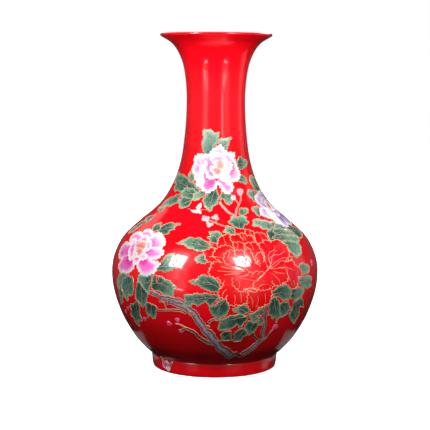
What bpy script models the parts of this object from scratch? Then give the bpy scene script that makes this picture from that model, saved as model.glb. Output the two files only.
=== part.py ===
"""Tall-necked porcelain vase with a raised peony decoration of enamel inlays and gilt wire.

The body is four turned sections that are luted together: neck, shoulder, belly and foot ring.
Each flower, leaf and branch is a thin enamel inlay that follows the body, with a closed loop of
gilt wire round it. Metres, +Z up, origin at the centre of the foot, front towards -Y.
"""

import math

import bmesh
import bpy
import numpy as np
from mathutils import Vector
from mathutils.geometry import delaunay_2d_cdt

# Driving dimensions, metres
HEIGHT = 0.350
MOUTH_RADIUS = 0.0584
NECK_RADIUS = 0.0307
BELLY_RADIUS = 0.1092
FOOT_TOP_RADIUS = 0.0670
FOOT_RADIUS = 0.0654
FOOT_HEIGHT = 0.0144
WALL = 0.0045
LIP_HEIGHT = 0.0030
FOOT_RIM_WIDTH = 0.0048
FOOT_INSIDE_RADIUS = 0.0585
FOOT_CHAMFER = 0.0005
SPIGOT_RADIUS = 0.0622
FLOOR_UNDERSIDE = 0.0172
FLOOR_THICKNESS = 0.0060
NECK_SEAM = 0.205
BELLY_SEAM = 0.099
LAP = 0.0030
GAP = 0.0003
SEGMENTS = 40

# Decoration, metres
INLAY_LIFT = 0.00045
INLAY_THICKNESS = 0.0006
WIRE_RADIUS = 0.0003
WIRE_CLEARANCE = 0.0007
INLAY_GRID = 0.0085

# (radius, height) down the outside of the body, from under the lip to the top of the foot ring
BODY_POINTS = (
    (MOUTH_RADIUS - 0.0012, HEIGHT - LIP_HEIGHT),
    (0.0463, 0.3400),
    (0.0391, 0.3300),
    (0.0340, 0.3160),
    (0.0312, 0.2960),
    (NECK_RADIUS, 0.2750),
    (0.0322, 0.2480),
    (0.0365, 0.2180),
    (0.0446, 0.1940),
    (0.0580, 0.1730),
    (0.0800, 0.1540),
    (0.0975, 0.1370),
    (0.1070, 0.1170),
    (BELLY_RADIUS, 0.0990),
    (0.1065, 0.0790),
    (0.0980, 0.0550),
    (0.0850, 0.0330),
    (0.0755, 0.0220),
    (0.0695, 0.0165),
    (FOOT_TOP_RADIUS + 0.0002, FOOT_HEIGHT),
)


def smooth_through(points, steps):
    """A Catmull-Rom curve through the points, with this many steps between neighbours."""
    ends = [2 * np.array(points[0]) - points[1], 2 * np.array(points[-1]) - points[-2]]
    knots = [ends[0], *map(np.array, points), ends[1]]
    curve = []
    for before, start, end, after in zip(knots, knots[1:], knots[2:], knots[3:]):
        for t in np.arange(steps) / steps:
            curve.append(
                0.5
                * (
                    2 * start
                    + (end - before) * t
                    + (2 * before - 5 * start + 4 * end - after) * t**2
                    + (3 * start - before - 3 * end + after) * t**3
                )
            )
    return np.array([*curve, knots[-2]])


FINE_OUTLINE = smooth_through(BODY_POINTS, 12)
FINE_ARC = np.concatenate(
    [[0], np.cumsum(np.linalg.norm(np.diff(FINE_OUTLINE[::-1], axis=0), axis=1))]
)


def radius_at(height):
    return float(np.interp(height, FINE_OUTLINE[::-1, 1], FINE_OUTLINE[::-1, 0]))


def arc_at(height):
    """Distance along the outside of the body, from the foot ring up to this height."""
    return float(np.interp(height, FINE_OUTLINE[::-1, 1], FINE_ARC))


def height_at(arc):
    return float(np.interp(arc, FINE_ARC, FINE_OUTLINE[::-1, 1]))


def outer_points(top, bottom):
    """The body's outline between two heights, coarse enough for a solid, top first."""
    coarse = smooth_through(BODY_POINTS, 2)
    inside = [tuple(p) for p in coarse if bottom + 0.002 < p[1] < top - 0.002]
    return [(radius_at(top), top), *inside, (radius_at(bottom), bottom)]


def inner_points(top, bottom):
    """The inside of the wall between two heights, bottom first."""
    moved = []
    for radius, height in reversed(BODY_POINTS):
        slope = (radius_at(height + 0.001) - radius_at(height - 0.001)) / 0.002
        length = math.hypot(1, slope)
        moved.append((radius - WALL / length, height + WALL * slope / length))
    return [p for p in moved if bottom < p[1] < top]


def body_point(azimuth, height, lift):
    """A point that stands this far off the body. Azimuth 0 is the front, growing to the right."""
    radius = radius_at(height)
    slope = (radius_at(height + 0.001) - radius_at(height - 0.001)) / 0.002
    length = math.hypot(1, slope)
    out = radius + lift / length
    return Vector(
        (
            out * math.sin(azimuth),
            -out * math.cos(azimuth),
            height - lift * slope / length,
        )
    )


def new_collection(name):
    collection = bpy.data.collections.new(name)
    bpy.context.scene.collection.children.link(collection)
    return collection


def material(name, colour, roughness, metallic=0.0):
    made = bpy.data.materials.new(name)
    made.use_nodes = True
    shader = made.node_tree.nodes["Principled BSDF"]
    shader.inputs["Base Color"].default_value = (*colour, 1)
    shader.inputs["Roughness"].default_value = roughness
    shader.inputs["Metallic"].default_value = metallic
    return made


def turned(name, profile, finish):
    """A section turned about Z. The profile runs down its outer side."""
    mesh = bpy.data.meshes.new(name)
    points = [(radius, 0, height) for radius, height in profile]
    edges = [(i, i + 1) for i in range(len(points) - 1)]
    if profile[0][0] > 0:
        edges.append((len(points) - 1, 0))
    mesh.from_pydata(points, edges, [])
    mesh.materials.append(finish)
    section = bpy.data.objects.new(name, mesh)
    PARTS.objects.link(section)
    screw = section.modifiers.new("Turn", "SCREW")
    screw.axis = "Z"
    screw.steps = screw.render_steps = SEGMENTS
    screw.use_merge_vertices = True
    screw.merge_threshold = 0.00001
    section.parent = BODY_AXIS
    return section


def neck_section(finish):
    """Trumpet mouth and long neck. Its lower edge is rebated inside to take the shoulder's tongue."""
    outer = outer_points(HEIGHT - LIP_HEIGHT, NECK_SEAM)
    lip = [
        (MOUTH_RADIUS - 0.0042, HEIGHT - 0.0010),
        (MOUTH_RADIUS - 0.0030, HEIGHT - 0.0001),
        (MOUTH_RADIUS - 0.0010, HEIGHT),
        (MOUTH_RADIUS - 0.0001, HEIGHT - 0.0008),
        (MOUTH_RADIUS, HEIGHT - 0.0018),
        (MOUTH_RADIUS - 0.0005, HEIGHT - 0.0027),
    ]
    seam = radius_at(NECK_SEAM)
    rebate = [
        (seam - 0.5 * WALL, NECK_SEAM),
        (seam - 0.5 * WALL, NECK_SEAM + LAP),
        (seam - WALL, NECK_SEAM + LAP),
    ]
    inner = inner_points(HEIGHT - LIP_HEIGHT, NECK_SEAM + LAP + 0.002)
    turned("neck_section", [*lip, *outer, *rebate, *inner], finish)


def shoulder_section(finish):
    """The sloping shoulder, with a tongue above that enters the neck and a rebate below."""
    top, bottom = NECK_SEAM - GAP, BELLY_SEAM
    outer = outer_points(top, bottom)
    tongue_outer = radius_at(NECK_SEAM) - 0.5 * WALL - GAP
    tongue_inner = radius_at(NECK_SEAM) - WALL
    tongue_top = NECK_SEAM + LAP - GAP
    seam = radius_at(bottom)
    rebate = [
        (seam - 0.5 * WALL, bottom),
        (seam - 0.5 * WALL, bottom + LAP),
        (seam - WALL, bottom + LAP),
    ]
    inner = inner_points(top - 0.002, bottom + LAP + 0.002)
    tongue = [(tongue_inner, tongue_top), (tongue_outer, tongue_top), (tongue_outer, top)]
    turned("shoulder_section", [*tongue, *outer, *rebate, *inner], finish)


def belly_section(finish):
    """The lower bowl with its floor. It is rebated underneath for the foot ring's spigot."""
    top = BELLY_SEAM - GAP
    outer = outer_points(top, FOOT_HEIGHT)
    tongue_outer = radius_at(BELLY_SEAM) - 0.5 * WALL - GAP
    tongue_inner = radius_at(BELLY_SEAM) - WALL
    tongue_top = BELLY_SEAM + LAP - GAP
    floor_top = FLOOR_UNDERSIDE + FLOOR_THICKNESS
    inner = inner_points(top - 0.002, floor_top + 0.004)
    floor = [(0, floor_top), (0.045, floor_top), (0.064, floor_top + 0.0012)]
    tongue = [(tongue_inner, tongue_top), (tongue_outer, tongue_top), (tongue_outer, top)]
    underside = [
        (SPIGOT_RADIUS + GAP, FOOT_HEIGHT),
        (SPIGOT_RADIUS + GAP, FLOOR_UNDERSIDE),
        (0, FLOOR_UNDERSIDE),
    ]
    turned("belly_section", [*floor, *inner, *tongue, *outer, *underside], finish)


def foot_ring(finish):
    """The foot ring, glazed outside, with a bare flat rim that the vase stands on."""
    top = FOOT_HEIGHT - GAP
    spigot_top = FLOOR_UNDERSIDE - GAP
    rim_inside = FOOT_RADIUS - FOOT_RIM_WIDTH
    profile = [
        (SPIGOT_RADIUS, spigot_top),
        (SPIGOT_RADIUS, top),
        (FOOT_TOP_RADIUS, top),
        (0.5 * (FOOT_TOP_RADIUS + FOOT_RADIUS) + 0.0001, 0.5 * top),
        (FOOT_RADIUS, FOOT_CHAMFER),
        (FOOT_RADIUS - FOOT_CHAMFER, 0),
        (rim_inside + FOOT_CHAMFER, 0),
        (rim_inside, FOOT_CHAMFER),
        (FOOT_INSIDE_RADIUS, spigot_top),
    ]
    turned("foot_ring", profile, finish)


def moved_outwards(outline, distance):
    """A closed outline with each point moved out, square to the line through its neighbours."""
    points = np.array(outline)
    along = np.roll(points, -1, axis=0) - np.roll(points, 1, axis=0)
    out = np.stack([along[:, 1], -along[:, 0]], axis=1)
    return points + distance * out / np.linalg.norm(out, axis=1)[:, None]


def inside_points(outline, spacing):
    """A square grid of points well inside a closed outline, so that its inlay can bend."""
    points = np.array(outline)
    low, high = points.min(axis=0), points.max(axis=0)
    grid = []
    for x in np.arange(low[0] + 0.5 * spacing, high[0], spacing):
        for y in np.arange(low[1] + 0.5 * spacing, high[1], spacing):
            ahead = np.roll(points, -1, axis=0)
            crosses = (points[:, 1] > y) != (ahead[:, 1] > y)
            rise = np.where(crosses, ahead[:, 1] - points[:, 1], 1)
            hits = x < points[:, 0] + (y - points[:, 1]) / rise * (ahead[:, 0] - points[:, 0])
            clear = np.linalg.norm(points - (x, y), axis=1).min() > 0.4 * spacing
            if (crosses & hits).sum() % 2 and clear:
                grid.append((x, y))
    return grid


def on_body(place, point, lift):
    """A motif's flat point (across, up) laid on the body round the motif's centre."""
    azimuth, height = place
    at = height_at(arc_at(height) + point[1])
    return body_point(math.radians(azimuth) + point[0] / radius_at(at), at, lift)


def inlay(name, place, outline, finish):
    """A thin enamel plate that follows the body inside a closed outline."""
    rim = [Vector(p) for p in outline]
    flat = rim + [Vector(p) for p in inside_points(outline, INLAY_GRID)]
    edges = [(i, (i + 1) % len(rim)) for i in range(len(rim))]
    points, _, faces = delaunay_2d_cdt(flat, edges, [], 1, 1e-7)[:3]
    mesh = bpy.data.meshes.new(name)
    mesh.from_pydata([on_body(place, p, INLAY_LIFT) for p in points], [], faces)
    mesh.materials.append(finish)
    grown = bmesh.new()
    grown.from_mesh(mesh)
    for face in grown.faces:
        face.normal_update()
        centre = face.calc_center_median()
        if face.normal.dot(Vector((centre.x, centre.y, 0))) < 0:
            face.normal_flip()
    grown.to_mesh(mesh)
    grown.free()
    plate = bpy.data.objects.new(name, mesh)
    PARTS.objects.link(plate)
    thick = plate.modifiers.new("Thickness", "SOLIDIFY")
    thick.thickness = INLAY_THICKNESS
    thick.offset = 1
    plate.parent = BODY_AXIS


def wire(name, place, outline, finish):
    """A closed loop of gilt wire that stands round an inlay."""
    curve = bpy.data.curves.new(name, "CURVE")
    curve.dimensions = "3D"
    curve.bevel_depth = WIRE_RADIUS
    curve.bevel_resolution = 0
    loop = moved_outwards(outline, WIRE_CLEARANCE)
    spline = curve.splines.new("POLY")
    spline.points.add(len(loop) - 1)
    for target, point in zip(spline.points, loop):
        target.co = (*on_body(place, point, INLAY_LIFT + WIRE_RADIUS), 1)
    spline.use_cyclic_u = True
    curve.materials.append(finish)
    ring = bpy.data.objects.new(name, curve)
    PARTS.objects.link(ring)
    ring.parent = BODY_AXIS


def turn_outline(outline, degrees):
    """Turns a flat outline so that its +X heads this many degrees up from the horizontal."""
    turn = math.radians(degrees)
    c, s = math.cos(turn), math.sin(turn)
    return [(x * c - y * s, x * s + y * c) for x, y in outline]


def flower_outline(width, height, petals):
    """A ring of round petal ends, anticlockwise."""
    steps = 4 * petals
    outline = []
    for i in range(steps):
        angle = 2 * math.pi * i / steps
        reach = 0.92 + 0.08 * math.sin(math.pi * (i % 4) / 4)
        outline.append((0.5 * width * reach * math.cos(angle), 0.5 * height * reach * math.sin(angle)))
    return outline


def leaf_outline(length, width, heading):
    """A pointed leaf with three soft teeth a side, anticlockwise from its stalk."""
    lower = []
    for i in range(1, 8):
        along = i / 8
        belly = math.sin(math.pi * along**0.8) * (1.0 if i % 2 else 0.84)
        lower.append((length * (along - 0.5), -0.5 * width * belly))
    upper = [(x, -y) for x, y in reversed(lower)]
    outline = [(-0.5 * length, 0), *lower, (0.5 * length, 0), *upper]
    return turn_outline(outline, heading)


def branch_outline(line, start_width, end_width):
    """A strip along a crooked line of (across, up) points, tapering from its root, anticlockwise."""
    points = smooth_through(line, 3)
    along = np.gradient(points, axis=0)
    side = np.stack([along[:, 1], -along[:, 0]], axis=1)
    side /= np.linalg.norm(side, axis=1)[:, None]
    half = np.linspace(0.5 * start_width, 0.5 * end_width, len(points))[:, None]
    right, left = points + side * half, points - side * half
    return [tuple(p) for p in [*right, *left[::-1]]]


def motif(name, place, outline, enamel, gilt):
    inlay(f"{name}_inlay", place, outline, enamel)
    wire(f"{name}_wire", place, outline, gilt)


# name: (azimuth, height) of the centre, width, height, number of petals
FLOWERS = {
    "red_peony": ((25, 0.1135), 0.100, 0.070, 13),
    "pink_peony": ((-50, 0.1280), 0.070, 0.044, 10),
    "top_peony": ((3, 0.2070), 0.048, 0.040, 9),
    "lilac_peony": ((72, 0.1680), 0.044, 0.036, 8),
    "back_peony": ((180, 0.1400), 0.056, 0.042, 9),
}

# name: (azimuth, height) of the centre, length, width, heading in degrees up from the right
LEAVES = {
    "neck_leaf_left": ((-11, 0.2410), 0.022, 0.012, 112),
    "neck_leaf_right": ((24, 0.2385), 0.016, 0.009, 62),
    "throat_leaf_right": ((56, 0.2150), 0.014, 0.009, 60),
    "throat_leaf_left": ((-62, 0.1850), 0.026, 0.014, 150),
    "collar_leaf": ((4, 0.1780), 0.017, 0.012, -85),
    "shoulder_leaf": ((20, 0.1650), 0.022, 0.014, 40),
    "shoulder_leaf_right": ((44, 0.1560), 0.028, 0.014, 10),
    "centre_leaf": ((-10, 0.1440), 0.032, 0.018, 155),
    "cheek_leaf": ((-33, 0.1560), 0.028, 0.015, 60),
    "outer_leaf_left": ((-79, 0.1560), 0.026, 0.012, 75),
    "belly_leaf_left": ((-57, 0.0880), 0.034, 0.018, -120),
    "belly_leaf_middle": ((-37, 0.0985), 0.028, 0.012, -14),
    "low_leaf_left": ((-46, 0.0620), 0.030, 0.014, 200),
    "centre_low_leaf": ((-8, 0.1020), 0.026, 0.014, 170),
    "root_leaf": ((6, 0.0760), 0.024, 0.013, -20),
    "root_leaf_right": ((18, 0.0600), 0.022, 0.012, 20),
    "hip_leaf_right": ((42, 0.0680), 0.032, 0.016, 5),
    "edge_leaf_right": ((67, 0.0900), 0.034, 0.017, 60),
    "back_leaf_left": ((204, 0.1180), 0.034, 0.017, 20),
    "back_leaf_right": ((156, 0.1160), 0.034, 0.017, 160),
}

# name: (azimuth, height) of the root, points (across, up) in millimetres, width at root and end
BRANCHES = {
    "main_branch": (
        (13, 0.0240),
        ((0, 0), (-8, 14), (-18, 24), (-26, 38), (-36, 55), (-44, 65), (-58, 69), (-70, 69)),
        0.0060,
        0.0025,
    ),
    "side_branch": (
        (19, 0.0240),
        ((0, 0), (6, 8), (14, 17), (19, 24), (20, 34)),
        0.0050,
        0.0025,
    ),
    "back_branch": (
        (176, 0.0500),
        ((0, 0), (4, 12), (1, 26), (7, 42), (5, 56)),
        0.0050,
        0.0022,
    ),
}

ENAMELS = {
    "red_peony": ("enamel_scarlet", (0.80, 0.01, 0.02)),
    "pink_peony": ("enamel_pink", (0.85, 0.32, 0.60)),
    "top_peony": ("enamel_pale_pink", (0.90, 0.62, 0.78)),
    "lilac_peony": ("enamel_lilac", (0.72, 0.50, 0.82)),
    "back_peony": ("enamel_back_pink", (0.86, 0.40, 0.62)),
}

for leftover in list(bpy.data.objects):
    bpy.data.objects.remove(leftover, do_unlink=True)

PARTS = new_collection("cloisonne_vase")
BODY_AXIS = bpy.data.objects.new("body_axis", None)
PARTS.objects.link(BODY_AXIS)

red_glaze = material("red_glaze", (0.72, 0.004, 0.006), 0.08)
gilt_wire = material("gilt_wire", (0.86, 0.66, 0.40), 0.3, 1.0)
leaf_enamel = material("leaf_enamel", (0.10, 0.33, 0.20), 0.15)
bark_enamel = material("bark_enamel", (0.26, 0.19, 0.20), 0.2)

neck_section(red_glaze)
shoulder_section(red_glaze)
belly_section(red_glaze)
foot_ring(red_glaze)

for flower, (place, width, height, petals) in FLOWERS.items():
    enamel = material(*ENAMELS[flower], 0.12)
    motif(flower, place, flower_outline(width, height, petals), enamel, gilt_wire)

for leaf, (place, length, width, heading) in LEAVES.items():
    motif(leaf, place, leaf_outline(length, width, heading), leaf_enamel, gilt_wire)

for branch, (place, line, start_width, end_width) in BRANCHES.items():
    points = [(x / 1000, y / 1000) for x, y in line]
    outline = branch_outline(points, start_width, end_width)
    motif(branch, place, outline, bark_enamel, gilt_wire)

for obj in PARTS.objects:
    if obj.type == "MESH":
        obj.data.shade_smooth()
        obj.data.set_sharp_from_angle(angle=math.radians(35))
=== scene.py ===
# Porcelain bottle vase with gilt-wired enamel peonies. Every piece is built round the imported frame.
import math

import bmesh
import bpy
import numpy as np
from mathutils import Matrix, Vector
from mathutils.geometry import delaunay_2d_cdt
from mathutils.kdtree import KDTree


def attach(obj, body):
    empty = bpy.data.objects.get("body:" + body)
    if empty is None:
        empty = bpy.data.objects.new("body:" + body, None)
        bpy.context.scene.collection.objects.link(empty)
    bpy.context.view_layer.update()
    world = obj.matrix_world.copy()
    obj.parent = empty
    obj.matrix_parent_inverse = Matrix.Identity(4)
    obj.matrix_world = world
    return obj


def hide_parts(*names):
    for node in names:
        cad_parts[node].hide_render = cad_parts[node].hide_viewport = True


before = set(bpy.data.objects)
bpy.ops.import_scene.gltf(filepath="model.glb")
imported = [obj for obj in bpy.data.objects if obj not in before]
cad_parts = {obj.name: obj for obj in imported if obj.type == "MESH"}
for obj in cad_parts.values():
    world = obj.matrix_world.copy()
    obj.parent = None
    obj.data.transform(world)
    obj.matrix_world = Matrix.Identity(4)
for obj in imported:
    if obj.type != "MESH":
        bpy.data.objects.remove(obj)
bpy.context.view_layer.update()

print("frame loaded:", len(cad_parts), "nodes")

scene = bpy.context.scene
mm = 0.001

# the turned body, radius and height in millimetres from under the lip down to the foot ring
vaseBody = {
    "outline": [
        (57.2, 347.0), (46.3, 340.0), (39.1, 330.0), (34.0, 316.0), (31.2, 296.0), (30.7, 275.0),
        (32.2, 248.0), (36.5, 218.0), (44.6, 194.0), (58.0, 173.0), (80.0, 154.0), (97.5, 137.0),
        (107.0, 117.0), (109.2, 99.0), (106.5, 79.0), (98.0, 55.0), (85.0, 33.0), (75.5, 22.0),
        (69.5, 16.5), (67.2, 14.4),
    ],
    "lip": [
        (54.2, 349.0), (55.4, 349.9), (57.4, 350.0), (58.3, 349.2), (58.4, 348.2), (57.9, 347.35),
        (57.2, 347.0),
    ],
    "wall": 4.5,
    "turnSteps": 256,
}


def smoothThrough(points, steps):
    # a Catmull-Rom curve through the points
    p = np.array(points, float)
    p = np.vstack([2 * p[0] - p[1], p, 2 * p[-1] - p[-2]])
    t = (np.arange(steps) / steps)[None, :, None]
    a, b, c, d = (p[i:len(p) - 3 + i, None, :] for i in range(4))
    curve = 0.5 * (2 * b + (c - a) * t + (2 * a - 5 * b + 4 * c - d) * t**2 + (3 * b - a - 3 * c + d) * t**3)
    return np.vstack([curve.reshape(-1, p.shape[1]), p[-2]])


def evenly(points, spacing, closed=False):
    # the same polyline with points this far apart
    p = np.array(points, float)
    if closed:
        p = np.vstack([p, p[0]])
    run = np.concatenate([[0], np.cumsum(np.linalg.norm(np.diff(p, axis=0), axis=1))])
    count = max(3, int(round(run[-1] / spacing)))
    at = np.linspace(0, run[-1], count + 1)
    made = np.stack([np.interp(at, run, p[:, k]) for k in range(p.shape[1])], axis=1)
    return made[:-1] if closed else made


# the foot ring's outside, upwards, so that a motif can run down on to it
footCurve = [(65.4, 0.9), (65.95, 3.5), (66.4, 7.0), (66.75, 11.0), (67.0, 13.9)]
bodyCurve = np.vstack([footCurve, smoothThrough(vaseBody["outline"], 16)[::-1]])
bodyHeights, bodyRadii = bodyCurve[:, 1].copy(), bodyCurve[:, 0].copy()
bodyArcs = np.concatenate([[0], np.cumsum(np.linalg.norm(np.diff(bodyCurve, axis=0), axis=1))])


def arcAt(height):
    return np.interp(height, bodyHeights, bodyArcs)


def onBody(azimuth, arc, lift):
    # azimuth in radians with 0 at the front, arc and lift in millimetres; gives metres
    height = np.interp(arc, bodyArcs, bodyHeights)
    radius = np.interp(arc, bodyArcs, bodyRadii)
    slope = (np.interp(arc + 1, bodyArcs, bodyRadii) - np.interp(arc - 1, bodyArcs, bodyRadii)) / 2
    rise = np.sqrt(np.clip(1 - slope**2, 0.01, 1))
    out = radius + lift * rise
    return mm * np.stack([out * np.sin(azimuth), -out * np.cos(azimuth), height - lift * slope], axis=-1)


chartRadius = 80.0   # mm; the chart is the body unrolled as a cylinder of this radius


def toChart(place, xy):
    # flat motif points (across, up) round a place (azimuth in degrees, height) to the vase's chart
    xy = np.asarray(xy, float)
    arc = arcAt(place[1]) + xy[:, 1]
    azimuth = math.radians(place[0]) + xy[:, 0] / np.interp(arc, bodyArcs, bodyRadii)
    return np.stack([azimuth * chartRadius, arc], axis=1)


def chartToBody(chart, lift):
    return onBody(chart[:, 0] / chartRadius, chart[:, 1], lift)


def node(tree, kind, values=None, **settings):
    # a node with its inputs set, each by a number or by another node's output
    made = tree.nodes.new(kind)
    for name, value in settings.items():
        setattr(made, name, value)
    for name, value in (values or {}).items():
        if isinstance(value, bpy.types.NodeSocket):
            tree.links.new(value, made.inputs[name])
        else:
            made.inputs[name].default_value = value
    return made


def maths(tree, operation, a, b=0.0, clamp=False):
    return node(tree, "ShaderNodeMath", {0: a, 1: b}, operation=operation, use_clamp=clamp).outputs[0]


def summed(tree, *terms, clamp=False):
    total = terms[0]
    for term in terms[1:-1]:
        total = maths(tree, "ADD", total, term)
    return maths(tree, "ADD", total, terms[-1], clamp)


def times(tree, value, factor):
    return maths(tree, "MULTIPLY", value, factor)


def swung(tree, value, reach, middle=0.5):
    # how far a value lies from its middle, times a reach
    return times(tree, maths(tree, "SUBTRACT", value, middle), reach)


def ranged(tree, value, low, high, to=(0.0, 1.0)):
    ends = {"Value": value, "From Min": low, "From Max": high, "To Min": to[0], "To Max": to[1]}
    return node(tree, "ShaderNodeMapRange", ends, interpolation_type="SMOOTHSTEP").outputs[0]


def mixed(tree, share, a, b):
    made = node(tree, "ShaderNodeMix", data_type="RGBA", blend_type="MIX")
    for slot, value in ((0, share), (6, a), (7, b)):
        if isinstance(value, bpy.types.NodeSocket):
            tree.links.new(value, made.inputs[slot])
        else:
            made.inputs[slot].default_value = value if slot == 0 else (*value, 1)
    return made.outputs[2]


def ramp(tree, value, stops):
    made = node(tree, "ShaderNodeValToRGB", {"Fac": value})
    line = made.color_ramp
    while len(line.elements) < len(stops):
        line.elements.new(1)
    for element, (place, colour) in zip(line.elements, stops):
        element.position = place
        element.color = (*colour, 1)
    return made.outputs[0]


def noise(tree, vector, scale, detail=3.0, rough=0.5):
    values = {"Vector": vector, "Scale": scale, "Detail": detail, "Roughness": rough}
    return node(tree, "ShaderNodeTexNoise", values).outputs[0]


def startMaterial(name, roughness, coat, coatRoughness=0.03, metallic=0.0):
    made = bpy.data.materials.new(name)
    made.use_nodes = True
    tree = made.node_tree
    shader = tree.nodes["Principled BSDF"]
    shader.inputs["Metallic"].default_value = metallic
    shader.inputs["Roughness"].default_value = roughness
    shader.inputs["IOR"].default_value = 1.5
    shader.inputs["Coat Weight"].default_value = coat
    shader.inputs["Coat Roughness"].default_value = coatRoughness
    place = node(tree, "ShaderNodeTexCoord").outputs["Object"]
    return made, tree, shader, place


def finishMaterial(tree, shader, colour, height=None, depth=0.00003, roughness=None):
    tree.links.new(colour, shader.inputs["Base Color"])
    if roughness is not None:
        tree.links.new(roughness, shader.inputs["Roughness"])
    if height is not None:
        bump = node(tree, "ShaderNodeBump", {"Height": height, "Distance": depth, "Strength": 1.0})
        tree.links.new(bump.outputs[0], shader.inputs["Normal"])
        tree.links.new(bump.outputs[0], shader.inputs["Coat Normal"])


glaze = {
    "red": (0.95, 0.002, 0.010),
    "deepRed": (0.84, 0.001, 0.006),
    "thinGlazeAndLipHighlight": (0.86, 0.02, 0.05),
    "darkSpeckAndCreaseShade": (0.36, 0.0, 0.004),
    "white": (0.86, 0.84, 0.79),
    "clay": (0.62, 0.52, 0.42),
    "roughness": 0.16,
    "peelDepth": 0.000035,
}


def redGlaze():
    made, tree, shader, place = startMaterial("redGlaze", glaze["roughness"], 1.0, 0.02)
    height = node(tree, "ShaderNodeSeparateXYZ", {0: place}).outputs[2]
    cloud = noise(tree, place, 26.0, 4.0)
    colour = mixed(tree, ranged(tree, cloud, 0.35, 0.7), glaze["red"], glaze["deepRed"])
    fleck = noise(tree, place, 900.0, 1.0)
    colour = mixed(tree, ranged(tree, fleck, 0.74, 0.8, (0.0, 0.35)), colour, glaze["darkSpeckAndCreaseShade"])
    # painted highlight: the lip is mixed towards a paler pinkish red, both for thinner glaze at the rim and
    # for the highlight along it
    lip = summed(tree, height, swung(tree, cloud, 0.0012))
    colour = mixed(tree, ranged(tree, lip, 0.3486, 0.3497, (0.0, 0.75)), colour, glaze["thinGlazeAndLipHighlight"])
    # painted shade: a dark band along the crease where the body meets the foot, both for pooled glaze and for
    # the shade in the joint
    fold = maths(tree, "ABSOLUTE", maths(tree, "SUBTRACT", height, 0.0146))
    colour = mixed(tree, ranged(tree, fold, 0.0, 0.0012, (0.7, 0.0)), colour, glaze["darkSpeckAndCreaseShade"])
    peel = noise(tree, place, 420.0, 2.0, 0.4)
    rings = node(tree, "ShaderNodeCombineXYZ", {2: times(tree, height, 3.0)}).outputs[0]
    turned = noise(tree, rings, 40.0, 3.0)
    broad = noise(tree, place, 38.0, 1.0)
    bumps = summed(tree, times(tree, peel, 0.35), times(tree, turned, 0.8), times(tree, broad, 3.0))
    worn = ranged(tree, noise(tree, place, 60.0, 3.0), 0.3, 0.8, (0.12, 0.24))
    finishMaterial(tree, shader, colour, bumps, glaze["peelDepth"], worn)
    return made


def insideGlaze():
    # the mouth is red for a little way down, then the inside is plain white glaze
    made, tree, shader, place = startMaterial("insideGlaze", 0.2, 0.8)
    height = node(tree, "ShaderNodeSeparateXYZ", {0: place}).outputs[2]
    drip = swung(tree, noise(tree, place, 60.0, 3.0), 0.006)
    line = ranged(tree, summed(tree, height, drip), 0.3245, 0.3262)
    white = mixed(tree, noise(tree, place, 45.0), glaze["white"], (0.80, 0.79, 0.75))
    colour = mixed(tree, line, white, glaze["red"])
    finishMaterial(tree, shader, colour, noise(tree, place, 300.0, 2.0), 0.00003)
    return made


def bareClay():
    made, tree, shader, place = startMaterial("bareClay", 0.75, 0.0)
    grain = noise(tree, place, 1400.0, 4.0, 0.7)
    speck = noise(tree, place, 500.0, 2.0)
    colour = mixed(tree, grain, glaze["clay"], (0.74, 0.66, 0.56))
    colour = mixed(tree, ranged(tree, speck, 0.66, 0.74, (0.0, 0.6)), colour, (0.30, 0.18, 0.11))
    finishMaterial(tree, shader, colour, grain, 0.00008)
    return made


def flowUv(tree):
    # (round the root, root to rim) and (depth from the rim in mm, the cell's own tone)
    maps = [node(tree, "ShaderNodeUVMap", uv_map=name).outputs[0] for name in ("flow", "depth")]
    flow, depth = (node(tree, "ShaderNodeSeparateXYZ", {0: coordinates}).outputs for coordinates in maps)
    return flow[0], flow[1], depth[0], depth[1]


def petalEnamel(name, finish):
    made, tree, shader, place = startMaterial(name, 0.22, 1.0, 0.03)
    ray, reach, depth, tone = flowUv(tree)
    soft = noise(tree, place, 150.0, 3.0)
    drawn = node(tree, "ShaderNodeCombineXYZ", {0: ray, 1: times(tree, reach, 1.3), 2: tone})
    streak = noise(tree, drawn.outputs[0], finish["streaks"], 4.0, 0.65)
    wander = swung(tree, streak, finish["streakReach"])
    shift = swung(tree, tone, finish["toneReach"])
    blur = swung(tree, soft, 0.12)
    wash = summed(tree, times(tree, reach, finish["gain"]), wander, shift, blur, clamp=True)
    colour = ramp(tree, wash, finish["wash"])
    line = ranged(tree, streak, 0.54, 0.70, (0.0, finish["streakStrength"]))
    inner = ranged(tree, reach, 0.15, 0.6)
    colour = mixed(tree, times(tree, line, inner), colour, finish["streak"])
    rim = ranged(tree, depth, 0.3, finish["rimReach"], (finish["rimStrength"], 0.0))
    colour = mixed(tree, rim, colour, finish["rim"])
    bumps = summed(tree, streak, noise(tree, place, 420.0, 2.0))
    finishMaterial(tree, shader, colour, bumps, 0.00002, ranged(tree, soft, 0.3, 0.7, (0.16, 0.30)))
    return made


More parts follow.
